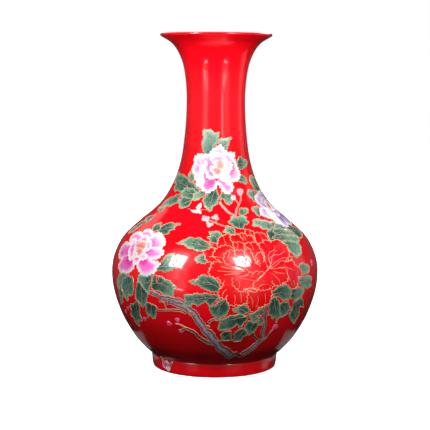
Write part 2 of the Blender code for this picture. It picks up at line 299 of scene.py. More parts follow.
def leafEnamel(name, finish):
    made, tree, shader, place = startMaterial(name, 0.24, 1.0, 0.03)
    along, across, depth, tone = flowUv(tree)
    soft = noise(tree, place, 130.0, 4.0)
    drawn = node(tree, "ShaderNodeCombineXYZ", {0: times(tree, along, 14.0), 1: across, 2: tone})
    fibre = noise(tree, drawn.outputs[0], 1.0, 3.0, 0.6)
    slanted = maths(tree, "SUBTRACT", times(tree, along, 30.0), times(tree, across, 0.9))
    band = maths(tree, "ABSOLUTE", maths(tree, "SINE", slanted))
    byEdge = ranged(tree, depth, 0.4, 3.4, (1.0, 0.0))
    light = summed(tree, times(tree, along, finish["tipLight"]), swung(tree, fibre, finish["fibreLight"]),
                   swung(tree, tone, finish["toneLight"], 0.45), times(tree, byEdge, finish["edgeLight"]),
                   times(tree, band, finish["bandLight"]), clamp=True)
    colour = ramp(tree, light, finish["wash"])
    grey = times(tree, ranged(tree, tone, 0.5, 1.0), ranged(tree, soft, 0.3, 0.7))
    colour = mixed(tree, times(tree, grey, finish["greyShare"]), colour, finish["grey"])
    edge = ranged(tree, depth, 0.3, 1.9, (finish["edgeStrength"], 0.0))
    colour = mixed(tree, edge, colour, finish["edge"])
    rib = ranged(tree, across, 0.0, 1.5, (finish["ribStrength"], 0.0))
    colour = mixed(tree, rib, colour, finish["rib"])
    finishMaterial(tree, shader, colour, noise(tree, place, 420.0, 2.0), 0.00002,
                   ranged(tree, soft, 0.3, 0.7, (0.18, 0.32)))
    return made


def barkEnamel(name, finish):
    made, tree, shader, place = startMaterial(name, 0.3, 0.9, 0.05)
    along, across, depth, tone = flowUv(tree)
    drawn = node(tree, "ShaderNodeCombineXYZ", {0: times(tree, along, 0.35), 1: across, 2: tone})
    fibre = noise(tree, drawn.outputs[0], 0.75, 5.0, 0.7)
    fine = noise(tree, place, 520.0, 3.0)
    deep = summed(tree, depth, swung(tree, fibre, finish["contrast"]))
    colour = ramp(tree, maths(tree, "DIVIDE", deep, finish["depth"], clamp=True), finish["wash"])
    crack = ranged(tree, fibre, 0.54, 0.62, (0.0, 0.85))
    colour = mixed(tree, crack, colour, finish["crack"])
    colour = mixed(tree, ranged(tree, fine, 0.5, 0.8, (0.0, 0.4)), colour, finish["light"])
    finishMaterial(tree, shader, colour, summed(tree, fibre, fine), 0.00006)
    return made


def giltWire(name, finish):
    made, tree, shader, place = startMaterial(name, 0.32, 0.3, 0.1, finish["metallic"])
    patch = noise(tree, place, 300.0, 3.0)
    colour = mixed(tree, patch, finish["pale"], finish["deep"])
    worn = ranged(tree, noise(tree, place, 1500.0, 2.0), 0.3, 0.7, (0.24, 0.45))
    finishMaterial(tree, shader, colour, patch, 0.00003, worn)
    return made


petalFinishes = {
    "scarletEnamel": {
        "wash": [(0.0, (0.96, 0.001, 0.004)), (0.45, (0.93, 0.001, 0.006)), (0.8, (0.86, 0.003, 0.02)),
                 (1.0, (0.84, 0.008, 0.04))],
        "gain": 1.0, "streaks": 1.6, "streakReach": 0.5, "toneReach": 0.6, "streak": (0.92, 0.05, 0.08),
        "streakStrength": 0.25, "rim": (0.82, 0.0, 0.003), "rimStrength": 0.5, "rimReach": 1.3,
    },
    "pinkEnamel": {
        "wash": [(0.0, (0.84, 0.72, 0.79)), (0.22, (0.86, 0.48, 0.72)), (0.5, (0.92, 0.20, 0.60)),
                 (0.8, (0.90, 0.09, 0.50)), (1.0, (0.76, 0.04, 0.34))],
        "gain": 1.15, "streaks": 1.7, "streakReach": 0.6, "toneReach": 0.6, "streak": (0.78, 0.60, 0.73),
        "streakStrength": 0.5, "rim": (0.86, 0.82, 0.85), "rimStrength": 1.0, "rimReach": 4.6,
    },
    "paleEnamel": {
        "wash": [(0.0, (0.74, 0.70, 0.73)), (0.25, (0.72, 0.58, 0.68)), (0.5, (0.69, 0.34, 0.58)),
                 (0.75, (0.68, 0.14, 0.46)), (1.0, (0.60, 0.06, 0.32))],
        "gain": 1.25, "streaks": 1.7, "streakReach": 0.6, "toneReach": 0.9, "streak": (0.75, 0.68, 0.73),
        "streakStrength": 0.5, "rim": (0.82, 0.80, 0.81), "rimStrength": 1.0, "rimReach": 4.2,
    },
    "lilacEnamel": {
        "wash": [(0.0, (0.74, 0.70, 0.80)), (0.25, (0.64, 0.52, 0.76)), (0.55, (0.44, 0.29, 0.66)),
                 (0.85, (0.28, 0.13, 0.50)), (1.0, (0.18, 0.06, 0.36))],
        "gain": 0.85, "streaks": 1.7, "streakReach": 0.6, "toneReach": 0.25, "streak": (0.72, 0.65, 0.80),
        "streakStrength": 0.5, "rim": (0.80, 0.78, 0.83), "rimStrength": 0.9, "rimReach": 3.0,
    },
    "heartEnamel": {
        "wash": [(0.0, (0.80, 0.42, 0.34)), (0.4, (0.74, 0.24, 0.20)), (1.0, (0.62, 0.09, 0.11))],
        "gain": 1.0, "streaks": 3.0, "streakReach": 0.9, "toneReach": 0.4, "streak": (0.84, 0.62, 0.44),
        "streakStrength": 0.7, "rim": (0.82, 0.58, 0.48), "rimStrength": 0.5, "rimReach": 1.3,
    },
    "budEnamel": {
        "wash": [(0.0, (0.98, 0.14, 0.34)), (0.5, (0.98, 0.09, 0.28)), (1.0, (0.92, 0.04, 0.18))],
        "gain": 1.0, "streaks": 2.0, "streakReach": 0.5, "toneReach": 0.4, "streak": (0.95, 0.30, 0.52),
        "streakStrength": 0.4, "rim": (0.95, 0.16, 0.42), "rimStrength": 0.3, "rimReach": 1.3,
    },
    "knotEnamel": {
        "wash": [(0.0, (0.62, 0.20, 0.08)), (0.5, (0.78, 0.30, 0.10)), (1.0, (0.40, 0.09, 0.04))],
        "gain": 1.0, "streaks": 2.4, "streakReach": 0.8, "toneReach": 0.4, "streak": (0.85, 0.50, 0.28),
        "streakStrength": 0.6, "rim": (0.12, 0.04, 0.03), "rimStrength": 0.7, "rimReach": 1.3,
    },
    "blossomEnamel": {
        "wash": [(0.0, (0.76, 0.56, 0.68)), (0.4, (0.72, 0.36, 0.54)), (1.0, (0.56, 0.12, 0.28))],
        "gain": 1.3, "streaks": 2.0, "streakReach": 0.6, "toneReach": 0.4, "streak": (0.82, 0.70, 0.78),
        "streakStrength": 0.5, "rim": (0.82, 0.74, 0.78), "rimStrength": 0.6, "rimReach": 1.3,
    },
}
leafFinish = {
    "wash": [(0.0, (0.018, 0.062, 0.050)), (0.25, (0.030, 0.108, 0.080)), (0.5, (0.070, 0.200, 0.132)),
             (0.75, (0.16, 0.36, 0.23)), (1.0, (0.42, 0.60, 0.44))],
    "tipLight": 0.62, "fibreLight": 1.15, "toneLight": 0.42, "edgeLight": 0.34, "bandLight": 0.10,
    "grey": (0.26, 0.31, 0.34), "greyShare": 0.32,
    "edge": (0.075, 0.34, 0.18), "edgeStrength": 0.55,
    "rib": (0.015, 0.045, 0.038), "ribStrength": 0.45,
}
barkFinish = {
    "wash": [(0.0, (0.020, 0.009, 0.008)), (0.22, (0.05, 0.028, 0.028)), (0.42, (0.17, 0.10, 0.13)),
             (0.7, (0.40, 0.28, 0.38)), (1.0, (0.60, 0.48, 0.60))],
    "depth": 2.9, "contrast": 3.4, "crack": (0.030, 0.014, 0.014), "light": (0.62, 0.52, 0.58),
}
twigFinish = {
    "wash": [(0.0, (0.22, 0.09, 0.12)), (0.3, (0.42, 0.24, 0.32)), (0.7, (0.60, 0.42, 0.52)),
             (1.0, (0.66, 0.52, 0.60))],
    "depth": 1.3, "contrast": 0.8, "crack": (0.20, 0.08, 0.10), "light": (0.66, 0.54, 0.60),
}
giltFinish = {"pale": (0.86, 0.50, 0.34), "deep": (0.70, 0.36, 0.21), "metallic": 0.25}
roseGiltFinish = {"pale": (0.98, 0.66, 0.42), "deep": (0.92, 0.50, 0.28), "metallic": 0.1}
paleGiltFinish = {"pale": (0.84, 0.70, 0.62), "deep": (0.80, 0.56, 0.50), "metallic": 0.1}

finishes = {name: petalEnamel(name, finish) for name, finish in petalFinishes.items()}
finishes["leafEnamel"] = leafEnamel("leafEnamel", leafFinish)
finishes["barkEnamel"] = barkEnamel("barkEnamel", barkFinish)
finishes["twigEnamel"] = barkEnamel("twigEnamel", twigFinish)
finishes["giltWire"] = giltWire("giltWire", giltFinish)
finishes["roseGilt"] = giltWire("roseGilt", roseGiltFinish)
finishes["paleGilt"] = giltWire("paleGilt", paleGiltFinish)
finishes["redGlaze"] = redGlaze()
finishes["insideGlaze"] = insideGlaze()
finishes["bareClay"] = bareClay()
print("materials made:", len(finishes))


def keep(piece, slotName, *nodes):
    # puts a finished piece on the frame
    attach(piece, "root")
    if nodes:
        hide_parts(*nodes)
    return piece


def newPiece(name, mesh):
    piece = bpy.data.objects.new(name, mesh)
    scene.collection.objects.link(piece)
    return piece


def turn(name, profile, steps, pickMaterial, materials):
    # a closed profile of (radius, height) in millimetres turned about Z, pole to pole or round a hole
    profile = np.array(profile, float) * mm
    angles = np.linspace(0, 2 * math.pi, steps, endpoint=False)
    mesh = bpy.data.meshes.new(name)
    shape = bmesh.new()
    rings = []
    for radius, height in profile:
        if radius < 1e-7:
            rings.append([shape.verts.new((0, 0, height))])
        else:
            ring = [(radius * math.sin(a), -radius * math.cos(a), height) for a in angles]
            rings.append([shape.verts.new(corner) for corner in ring])
    pairs = list(zip(rings, rings[1:]))
    if len(rings[0]) > 1:
        pairs.append((rings[-1], rings[0]))
    for index, (one, two) in enumerate(pairs):
        for i in range(steps):
            j = (i + 1) % steps
            corners = [one[i % len(one)], one[j % len(one)], two[j % len(two)], two[i % len(two)]]
            corners = [c for k, c in enumerate(corners) if c not in corners[:k]]
            face = shape.faces.new(corners)
            face.smooth = True
            face.material_index = pickMaterial(index)
    bmesh.ops.recalc_face_normals(shape, faces=shape.faces)
    shape.to_mesh(mesh)
    shape.free()
    for material in materials:
        mesh.materials.append(material)
    return newPiece(name, mesh)


foot = {
    "spigot": 62.5, "top": 67.0, "bottom": 65.4, "height": 14.4, "rim": 4.8, "inside": 58.5,
    "underside": 17.2, "floorTop": 23.2, "edge": 0.9,
}


def insideOfBody(outline, wall):
    # the wall's inner line, from the outline's own normals
    along = np.gradient(outline, axis=0)
    out = np.stack([-along[:, 1], along[:, 0]], axis=1)
    out /= np.linalg.norm(out, axis=1)[:, None]
    out *= np.where(out[:, :1] > 0, 1, -1)
    return outline - wall * out


def makeBody():
    outer = smoothThrough(vaseBody["outline"], 6)
    lip = smoothThrough(vaseBody["lip"], 4)[:-1]
    inner = insideOfBody(outer, vaseBody["wall"])
    inner = inner[(inner[:, 1] < 346.5) & (inner[:, 1] > foot["floorTop"] + 2.5)][::-1]
    floor = [(0, foot["floorTop"]), (30, foot["floorTop"]), (50, foot["floorTop"] + 0.2),
             (64, foot["floorTop"] + 1.4)]
    under = [(66.6, 14.12), (66.2, 14.1), (foot["spigot"], 14.1), (foot["spigot"], foot["underside"]),
             (40, foot["underside"]), (0, foot["underside"])]
    profile = [*floor, *inner, *lip, *outer, *under]
    insideFaces = len(floor) + len(inner)

    def pick(index):
        if index < insideFaces:
            return 1
        return 2 if index > len(profile) - len(under) else 0

    made = [finishes["redGlaze"], finishes["insideGlaze"], finishes["bareClay"]]
    body = turn("vaseBody", profile, vaseBody["turnSteps"], pick, made)
    return keep(body, "red_glaze", "neck_section", "shoulder_section", "belly_section")


def makeFoot():
    # glazed outside, bare where it stands
    top, edge, low = foot["height"] - 0.3, foot["edge"], foot["bottom"]
    outside = [(foot["spigot"] - 0.4, top), (66.6, top), (66.9, top - 0.1), (foot["top"], top - 0.45),
               *footCurve[3:0:-1], (65.6, 1.7), (low, 1.05), (low - 0.25, 0.4), (low - edge, 0.0)]
    rim = [(low - 2.4, 0.0), (low - foot["rim"] + edge, 0.0), (low - foot["rim"] + 0.2, 0.45),
           (low - foot["rim"] - 0.1, 1.3)]
    inside = [(59.9, 5), (59.2, 10), (58.8, 14), (foot["inside"], foot["underside"] - 0.2),
              (foot["spigot"] - 0.4, foot["underside"] - 0.2)]
    profile = [*outside, *rim, *inside]
    glazed, bare = len(outside) - 2, len(outside) + len(rim) - 1

    def pick(index):
        if index < glazed:
            return 0
        return 1 if index < bare else 2

    made = [finishes["redGlaze"], finishes["bareClay"], finishes["insideGlaze"]]
    ring = turn("footRing", profile, vaseBody["turnSteps"], pick, made)
    return keep(ring, "red_glaze", "foot_ring")


body = makeBody()
footRing = makeFoot()
print("body turned:", len(body.data.polygons), "faces; foot ring:", len(footRing.data.polygons), "faces")


# the decoration: flat outlines (x right, y up, millimetres round a place) in painter's order
cells = []   # every enamel cell, lowest first
strokes = []   # open lines drawn on a cell, or on a whole piece: cell, line, gauge, piece, place
gauges = {"edge": 1.0, "scarletEdge": 1.1, "rib": 0.85, "vein": 0.55, "fold": 0.4, "feeler": 0.8}


def smoothOutline(points, tension, closed, spacing=0.75):
    p = np.array(points, float).reshape(-1, 2)
    if closed:
        p = np.vstack([p[-1], p, p[0], p[1]])
    else:
        p = np.vstack([p[0], p, p[-1]])
    t = (np.arange(8) / 8)[None, :, None]
    a, b, c, d = (p[i:len(p) - 3 + i, None, :] for i in range(4))
    m0, m1 = tension * (c - a), tension * (d - b)
    curve = (2 * t**3 - 3 * t**2 + 1) * b + (t**3 - 2 * t**2 + t) * m0
    curve = curve + (3 * t**2 - 2 * t**3) * c + (t**3 - t**2) * m1
    curve = curve.reshape(-1, 2)
    if not closed:
        curve = np.vstack([curve, p[-2]])
    return evenly(curve, spacing, closed)


def sideways(line, closed):
    # unit normals to the right of a line
    if closed:
        along = np.roll(line, -1, axis=0) - np.roll(line, 1, axis=0)
    else:
        along = np.gradient(line, axis=0)
    out = np.stack([along[:, 1], -along[:, 0]], axis=1)
    return out / np.maximum(np.linalg.norm(out, axis=1)[:, None], 1e-6)


def runLength(line):
    return np.concatenate([[0], np.cumsum(np.linalg.norm(np.diff(line, axis=0), axis=1))])


def ruffled(line, height, length, phase, closed=False):
    # small rounded scallops along a petal's rim
    run = runLength(line)
    count = max(1, round(run[-1] / length))
    wave = np.abs(np.sin(math.pi * (count * run / run[-1]) + phase)) - 0.5
    ends = 1.0 if closed else np.minimum(1, np.minimum(run, run[-1] - run) / 1.5)[:, None]
    return line + sideways(line, closed) * (height * wave)[:, None] * ends


def serrated(line, height, length):
    # saw teeth along a leaf's edge
    run = runLength(line)
    count = max(1, round(run[-1] / length))
    saw = (count * run / run[-1]) % 1
    lobe = np.sin(2 * math.pi * max(2, round(count / 3)) * run / run[-1])
    return line - sideways(line, True) * (height * (saw - 0.5 + 0.42 * lobe))[:, None]


def turnedLeft(points):
    # the same closed outline, running anticlockwise
    p = np.array(points, float).reshape(-1, 2)
    ahead = np.roll(p, -1, axis=0)
    area = (p[:, 0] * ahead[:, 1] - ahead[:, 0] * p[:, 1]).sum()
    return p if area > 0 else p[::-1]


def addCell(piece, kind, finish, place, outline, rim, **facts):
    chart = toChart(place, outline)
    cells.append({
        "piece": piece, "kind": kind, "finish": finish, "place": place, "outline": outline,
        "rim": rim, "chart": chart, "low": chart.min(0), "high": chart.max(0), "wired": True,
        "tone": (len(cells) * 0.6180339) % 1, "root": np.mean(outline, axis=0), **facts,
    })
    return cells[-1]


def strokeOn(cell, drawn, gauge):
    strokes.append((cell, drawn, gauge, cell["piece"], cell["place"]))


def strokeOver(piece, place, flat, gauge):
    # a line over everything else of a piece
    strokes.append((None, smoothOutline(flat, 0.5, False, 0.8), gauge, piece, place))


def addClosed(piece, kind, finish, place, outline, **facts):
    # a cell whose rim is its whole outline
    return addCell(piece, kind, finish, place, outline, np.vstack([outline, outline[0]]), **facts)


def petal(piece, finish, place, flat, root=None, wave=(0.45, 3.6), **facts):
    p = np.array(flat, float).reshape(-1, 2)
    if root is None:
        p = turnedLeft(p)
        rim = ruffled(smoothOutline(p, 0.45, True), wave[0] * 0.6, wave[1], len(cells), True)
        return addClosed(piece, "petal", finish, place, rim, **facts)
    root = np.array(root, float)
    rim = smoothOutline(p, 0.42, False)
    outward = np.sign(((rim - root) * sideways(rim, False)).sum())
    rim = ruffled(rim, outward * wave[0], wave[1], 0.0)
    sides = [evenly(np.array([rim[-1], root]), 1.2)[1:], evenly(np.array([root, rim[0]]), 1.2)[1:-1]]
    outline = np.vstack([rim, *sides])
    return addCell(piece, "petal", finish, place, outline, rim, root=root, **facts)


leafWork = {
    "tension": 0.14, "spacing": 0.55, "toothHeight": 1.35, "toothLength": 3.3,   # the edge, mm
    "veinSpread": 36, "veinGap": 8.2, "veinReach": 0.8, "veinStep": 0.7, "veinTurn": 2.2,   # degrees, mm
    "mostSteps": 26,
}


def veins(cell, rib):
    # a leaf's rib and its side veins, each bending towards the tip and ending short of the edge
    strokeOn(cell, rib, gauges["rib"])
    run = runLength(rib)
    side = 1
    for at in np.arange(leafWork["veinGap"] * 0.7, run[-1] * 0.9, leafWork["veinGap"] / 2):
        side = -side
        point = np.array([np.interp(at, run, rib[:, k]) for k in range(2)])
        ahead = np.array([np.interp(min(at + 1, run[-1]), run, rib[:, k]) for k in range(2)]) - point
        heading = math.atan2(ahead[1], ahead[0]) + side * math.radians(leafWork["veinSpread"])
        vein = [point]
        while len(vein) < leafWork["mostSteps"]:
            step = leafWork["veinStep"] * np.array([math.cos(heading), math.sin(heading)])
            if not insideOf(cell["outline"], (vein[-1] + step)[None])[0]:
                break
            vein.append(vein[-1] + step)
            heading -= side * math.radians(leafWork["veinTurn"])
        kept = vein[:max(2, int(len(vein) * leafWork["veinReach"]))]
        if len(kept) > 3:
            strokeOn(cell, np.array(kept), gauges["vein"])


def insideOf(outline, points):
    # even-odd test of many points against one closed outline
    a, b = outline, np.roll(outline, -1, axis=0)
    x, y = points[:, 0][:, None], points[:, 1][:, None]
    crosses = (a[:, 1] > y) != (b[:, 1] > y)
    rise = np.where(b[:, 1] == a[:, 1], 1.0, b[:, 1] - a[:, 1])
    hits = crosses & (x < a[:, 0] + (y - a[:, 1]) / rise * (b[:, 0] - a[:, 0]))
    return hits.sum(axis=1) % 2 == 1


def leaf(piece, place, flat, rib, veined=True, **facts):
    edge = smoothOutline(turnedLeft(flat), leafWork["tension"], True, leafWork["spacing"])
    outline = serrated(edge, leafWork["toothHeight"], leafWork["toothLength"])
    rib = smoothOutline(rib, 0.5, False, 0.8)
    made = addClosed(piece, "leaf", "leafEnamel", place, outline, root=rib[0], rib=rib, **facts)
    if veined:
        veins(made, rib)
    return made


def hole(piece, place, flat):
    # the red ground showing through
    outline = smoothOutline(turnedLeft(flat), 0.5, True)
    return addClosed(piece, "hole", None, place, outline)


boughWork = {
    "lumps": [(0.6, 2.3), (0.5, 0.9), (0.4, 5.1)],   # height, and length along the branch, mm
    "swell": 1.08, "lag": 7,
}


def bough(piece, place, flat, widths, knotty=0.5, finish="barkEnamel"):
    # a branch along a line, as wide as widths run from its root to its end
    line = smoothOutline(flat, 0.5, False, 0.8)
    share = np.linspace(0, 1, len(line))
    wide = np.interp(share, np.linspace(0, 1, len(widths)), widths) / 2
    run = runLength(line)
    phases = [len(cells), 0, 0]
    waves = zip(boughWork["lumps"], phases)
    lumps = sum(high * np.sin(run / length + phase) for (high, length), phase in waves)
    lumps = knotty / 2 * lumps
    out = sideways(line, False)
    right = line + out * (boughWork["swell"] * wide + lumps)[:, None]
    left = line - out * (boughWork["swell"] * wide + np.roll(lumps, boughWork["lag"]))[:, None]
    outline = evenly(np.vstack([right, left[::-1]]), 0.8, True)
    return addClosed(piece, "bough", finish, place, outline, root=line[0], rib=line)


def addRound(piece, finish, place, ring, root, **facts):
    # one small smooth petal
    outline = smoothOutline(turnedLeft(np.array(ring)), 0.5, True, 0.5)
    return addClosed(piece, "petal", finish, place, outline, root=root, **facts)


budWork = {
    "petals": [(0.32, 0.92, 0.30), (-0.32, 0.92, 0.30), (0.0, 1.0, 0.34)],   # lean, length, width, as shares
    "wiredOver": 6.5,   # mm
}


def bud(piece, place, at, size, heading, finish="budEnamel"):
    # three small petals in a cup
    way = np.array([math.cos(math.radians(heading)), math.sin(math.radians(heading))])
    side = np.array([-way[1], way[0]])
    foot = np.array(at) - 0.5 * size * way
    for lean, length, wide in budWork["petals"]:
        tip = foot + size * length * (way + lean * side)
        middle = foot + 0.55 * size * length * (way + lean * side)
        ring = [foot, middle - side * wide * size, tip - side * 0.1 * size, tip, tip + side * 0.1 * size,
                middle + side * wide * size]
        addRound(piece, finish, place, ring, foot, wired=size > budWork["wiredOver"])


blossomWork = {"out": 0.30, "long": 0.30, "wide": 0.27, "corners": 8}   # shares of its size


def blossom(piece, place, at, size, heading, lobes=4, finish="blossomEnamel"):
    # small round petals round a point
    for k in range(lobes):
        a = math.radians(heading + 360 * k / lobes)
        way = np.array([math.cos(a), math.sin(a)])
        side = np.array([-way[1], way[0]])
        middle = np.array(at) + blossomWork["out"] * size * way
        long, wide = blossomWork["long"], blossomWork["wide"]
        ring = [middle + size * (long * math.cos(t) * way + wide * math.sin(t) * side)
                for t in np.linspace(0, 2 * math.pi, blossomWork["corners"], endpoint=False)]
        addRound(piece, finish, place, ring, np.array(at, float))


frontBranches = {
    "place": (14, 62),
    "boughs": [
        ([-16, -25, -28, -22, -36, -17, -43, -10, -52, -5, -57, -8], [3.6, 3.0, 1.8], 0.9),
        ([8, -42, 15, -36, 20, -30, 25, -24, 28, -20, 27, -10, 28, 0, 27, 10, 26, 20],
         [6.4, 5.8, 4.8, 3.6, 3.0], 1.2),
        ([0, -44, -8, -36, -17, -27, -27, -13, -36, -2, -43, 8, -50, 16, -57, 20, -64, 22, -74, 24],
         [8.4, 8.0, 7.4, 7.0, 6.4, 6.0, 5.0], 1.5),
        ([-31, 3, -28, 6, -25, 7], [2.6, 1.4], 0.3),
        ([0, -38, 9, -44], [5, 4], 0.4),
        ([28, -20, 32, -20, 36, -13, 39, -10], [1.6, 1.2, 0.8], 0.2),
        ([16, -10, 17, -14, 20, -18, 23, -22], [1.6, 2.2], 0.4),
    ],
    "knots": [(-32, -2, 1.7), (-49, 13, 1.6), (-20, -20, 1.0)],
}
sideBranch = {
    "place": (-35, 85),
    "boughs": [
        ([36, -2.5, 30, 1, 20, 2, 10, 4, -2, 7.5], [5.6, 5.4, 5.2, 4.6, 3.8], 1.3),
        ([5, -11, 13, -10, 20, -9, 30, -9, 36, -11], [1.4, 1.8, 2.2], 0.4),
        ([15, -9, 14, -2, 8, -1], [1.2, 1.0], 0.2),
        ([40, -33, 33, -29, 27, -25, 22, -24], [1.6, 1.2, 0.7], 0.2),
        ([-8, -19, -16, -24], [0.9, 0.7], 0.1),
        ([-38, -13, -44, -17], [0.9, 0.7], 0.1),
    ],
}
upperTwigs = {
    "place": (8, 160), "finish": "twigEnamel",
    "boughs": [
        ([-3, 28, 0, 22, 4, 16, 8, 12, 11, 10], [1.8, 2.0, 1.9], 0.3),
        ([12, 11, 14, 18, 17, 24, 20, 30, 21, 40], [1.8, 1.5, 1.2, 0.8], 0.3),
        ([17, 25, 13, 31], [1.2, 0.8], 0.1),
        ([-19, 5, -12, 2, -8, -1, -2, -4, 2, -5], [0.9, 1.0, 1.2], 0.1),
        ([-15, -2, -11, 1], [0.9, 0.9], 0.1),
        ([-9, 7, -9, 0], [0.9, 0.9], 0.1),
    ],
}

neckLeaves = {
    "place": (3, 207),
    "leaves": [
        ([-14, 46, -10, 45, -6, 45, -3, 43, -1, 42, 1, 43, 2, 39, 1, 35, 0, 31, -3, 27, -6, 20, -10,
          17, -13, 20, -15, 25, -17, 30, -15, 34, -15, 40], [-6, 18, -5, 30, -8, 38, -13, 45], 0.9),
        ([1, 31, 2, 36, 6, 36, 9, 37, 16, 37, 13, 33, 11, 29, 10, 22, 6, 22, 3, 26],
         [5, 23, 9, 31, 15, 36.5], 0.95),
        ([21, 12, 23, 16, 26, 17, 30, 15, 36, 13, 40, 11, 38, 9, 34, 6, 29, 4, 25, 5, 20, 8],
         [21, 10, 30, 10, 39, 11], 0.6),
        ([22, -7, 25, -3, 29, -2, 32, -4, 34, -8, 36, -11, 31, -12, 26, -10],
         [22, -5, 30, -7, 35, -10.5], 0.6),
        ([-33, -2, -30, 2, -26, 4, -24, 0, -24, -5, -26, -10, -30, -7],
         [-24, -7, -28, -1, -30, 2], 0.6),
    ],
}
throatLeaves = {
    "place": (-35, 188),
    "leaves": [
        ([-31, 14, -26, 19, -18, 18, -10, 17, -4, 13, 3, 10, 8, 6, 13, 0, 8, -4, 0, -5, -7, -1, -14, 0,
          -20, -1, -27, 3, -23, 6, -30, 8], [10, 0, -4, 6, -16, 9, -29, 13], 0.3),
        ([-10, -1, -6, 4, 3, 4, 12, 0, 9, -6, 4, -10, -3, -8, -9, -5], [11, -2, 3, -2, -8, -3], 0.5),
        ([-36, -24, -36, -16, -28, -10, -18, -6, -8, -2, -9, -8, -11, -14, -17, -18, -26, -20],
         [-9, -4, -20, -11, -35, -22], 0.7),
        ([-10, -11, -5, -7, 1, -6, 6, -8, 8, -12, 6, -16, 1, -20, -5, -18, -7, -14],
         [6, -9, 1, -13, -4, -17], 0.2),
        ([8, -9, 7, -2, 13, 2, 21, 3, 18, -4, 14, -8], [20, 1, 13, -3, 9, -7], 0.3),
    ],
}
collarLeaves = {
    "lighter": 0.2,
    "place": (8, 160),
    "leaves": [
        ([-20, 29, -19, 24, -17, 20, -14, 16, -10, 21, -8, 24, -5, 26, -4, 30, -3, 36, -6, 42, -12, 42,
          -16, 36], [-7, 41, -11, 30, -14, 18], 0.1),
        ([0, 42, 5, 38, 9, 36, 12, 33, 10, 28, 8, 25, 6, 23, 4, 26, 2, 29, 1, 31, -2, 30],
         [0, 40, 5, 33, 7, 25], 0.1),
        ([15, 12, 17, 17, 19, 21, 22, 19.5, 28, 18, 26, 14, 23, 11, 20, 10.5],
         [17, 11, 21, 15, 26, 17], 0.1),
        ([7, 8, 6, 5, 3, 0, 5, -2, 8, -4, 12, -8, 17, -8, 20, -4, 24, -1, 26, 1, 22, 4, 24, 8, 20, 10,
          14, 9, 11, 10], [14, -7, 14, 1, 15, 9], 0.2),
        ([-3, -12, -1, -7, 2, -4, 6, -5, 8, -8, 9, -12, 8, -15, 4, -15, 0, -13],
         [8, -14, 4, -9, 0, -6], 0.2),
        ([28, 36, 31, 40, 36, 40, 41, 38, 45, 34, 42, 29, 40, 26, 37, 27, 33, 31],
         [43, 33, 36, 34, 29, 37], 0.6),
        ([32, 20, 36, 21, 40, 20, 45, 18, 45, 14, 43, 8, 40, 7, 36, 11, 33, 15],
         [45, 12, 39, 15, 33, 19], 0.4),
    ],
}
shoulderLeavesRight = {
    "place": (50, 140),
    "leaves": [
        ([15, 20, 25, 21, 35, 17, 45, 13, 50, 8, 42, 2, 30, 0, 23, 6], [18, 14, 32, 11, 48, 8], 0.3),
        ([-13, 19, -8, 23, 0, 27, 6, 27, 13, 25, 17, 22, 19, 18, 10, 13, 2, 11],
         [16, 20, 5, 19, -11, 20], 0.8),
        ([-22, 3, -20, 8, -19, 13, -15, 16, -10, 18, -5, 20, 0, 18, 8, 16, 15, 14, 22, 10, 25, 5, 24,
          -1, 18, -3, 19, -9, 16, -14, 10, -17, 3, -18, 0, -14, -3, -9, -5, -5, -8, 0, -14, 3],
         [-20, 6, -8, 7, 6, 3, 20, -2], 0.2),
        ([-10, 15, -4, 18, 4, 18, 12, 16, 20, 12, 24, 8, 20, 5, 12, 6, 2, 8, -6, 10],
         [-9, 13, 4, 13, 21, 8], 0.45),
        ([-16, 8, -6, 11, 4, 9, 12, 7, 20, 5, 25, 1, 23, -2, 16, -3, 8, -1, 0, 1, -8, 2, -14, 4],
         [-14, 7, 0, 6, 12, 3, 23, 0], 0.6),
        ([-7, 1, 2, 1, 10, -1, 18, -4, 20, -9, 16, -14, 10, -17, 3, -18, 0, -14, -3, -9, -6, -4],
         [-6, -1, 3, -6, 13, -14], 0.7),
        ([4, -28, 8, -25, 13, -25, 20, -29, 25, -32, 20, -36, 10, -36],
         [6, -30, 15, -30, 24, -32], 0.8),
    ],
}
shoulderLeaves = {
    "lighter": 0.3,
    "place": (8, 160),
    "leaves": [
        ([28, -5, 30, -1, 31, 4, 36, 4, 42, 2, 48, 0, 55, -2, 61, -4, 56, -9, 48, -12, 42, -11, 38, -9,
          34, -6], [59, -6, 45, -4, 30, 1], 0.5),
        ([-20, -19, -17, -17, -17, -12, -14, -11, -9, -11, -5, -14, -5, -20, -8, -25, -12, -29, -17,
          -28, -19, -25, -17, -22], [-10, -28, -11, -20, -14, -12], 0.1),
        ([-53, -28, -47, -26, -44, -23, -39, -21, -36, -19.5, -31, -21, -27, -20, -22, -24, -19, -28,
          -13, -34, -20, -36, -30, -36, -38, -34, -43, -31, -47, -29],
         [-14, -34, -30, -28.5, -44, -27, -51, -28], 0.2),
        ([-34, -44, -30, -40, -24, -40, -22, -43, -22, -47, -27, -49, -32, -48],
         [-23, -45, -33, -43], 0.2),
    ],
}
cheekLeaves = {
    "place": (-55, 165),
    "leaves": [
        ([-10, -3, -15, -5, -22, -7, -25, -10, -20, -13, -14, -15, -10, -12],
         [-11, -9, -18, -9, -24, -10], 0.7),
        ([-18, 8, -14, 6, -10, 7, -5, 9, -3, 4, -8, 2, -14, 3], [-4, 6, -16, 7], 0.3),
        ([6, -14, 10, -11, 14, -14, 18, -20, 14, -25, 8, -22, 5, -19], [15, -22, 11, -17, 9, -12], 0.4),
        ([19, -12, 23, -10, 28, -11, 33, -10, 37, -12, 32, -16, 36, -19, 30, -21, 34, -25, 26, -27, 18,
          -24, 17, -18], [18, -25, 24, -19, 35, -12], 0.2),
        ([-20, -20, -14, -15, -20, -12, -28, -16, -34, -24, -38, -34, -32, -34, -24, -30],
         [-18, -16, -26, -22, -36, -33], 0.8),
    ],
}
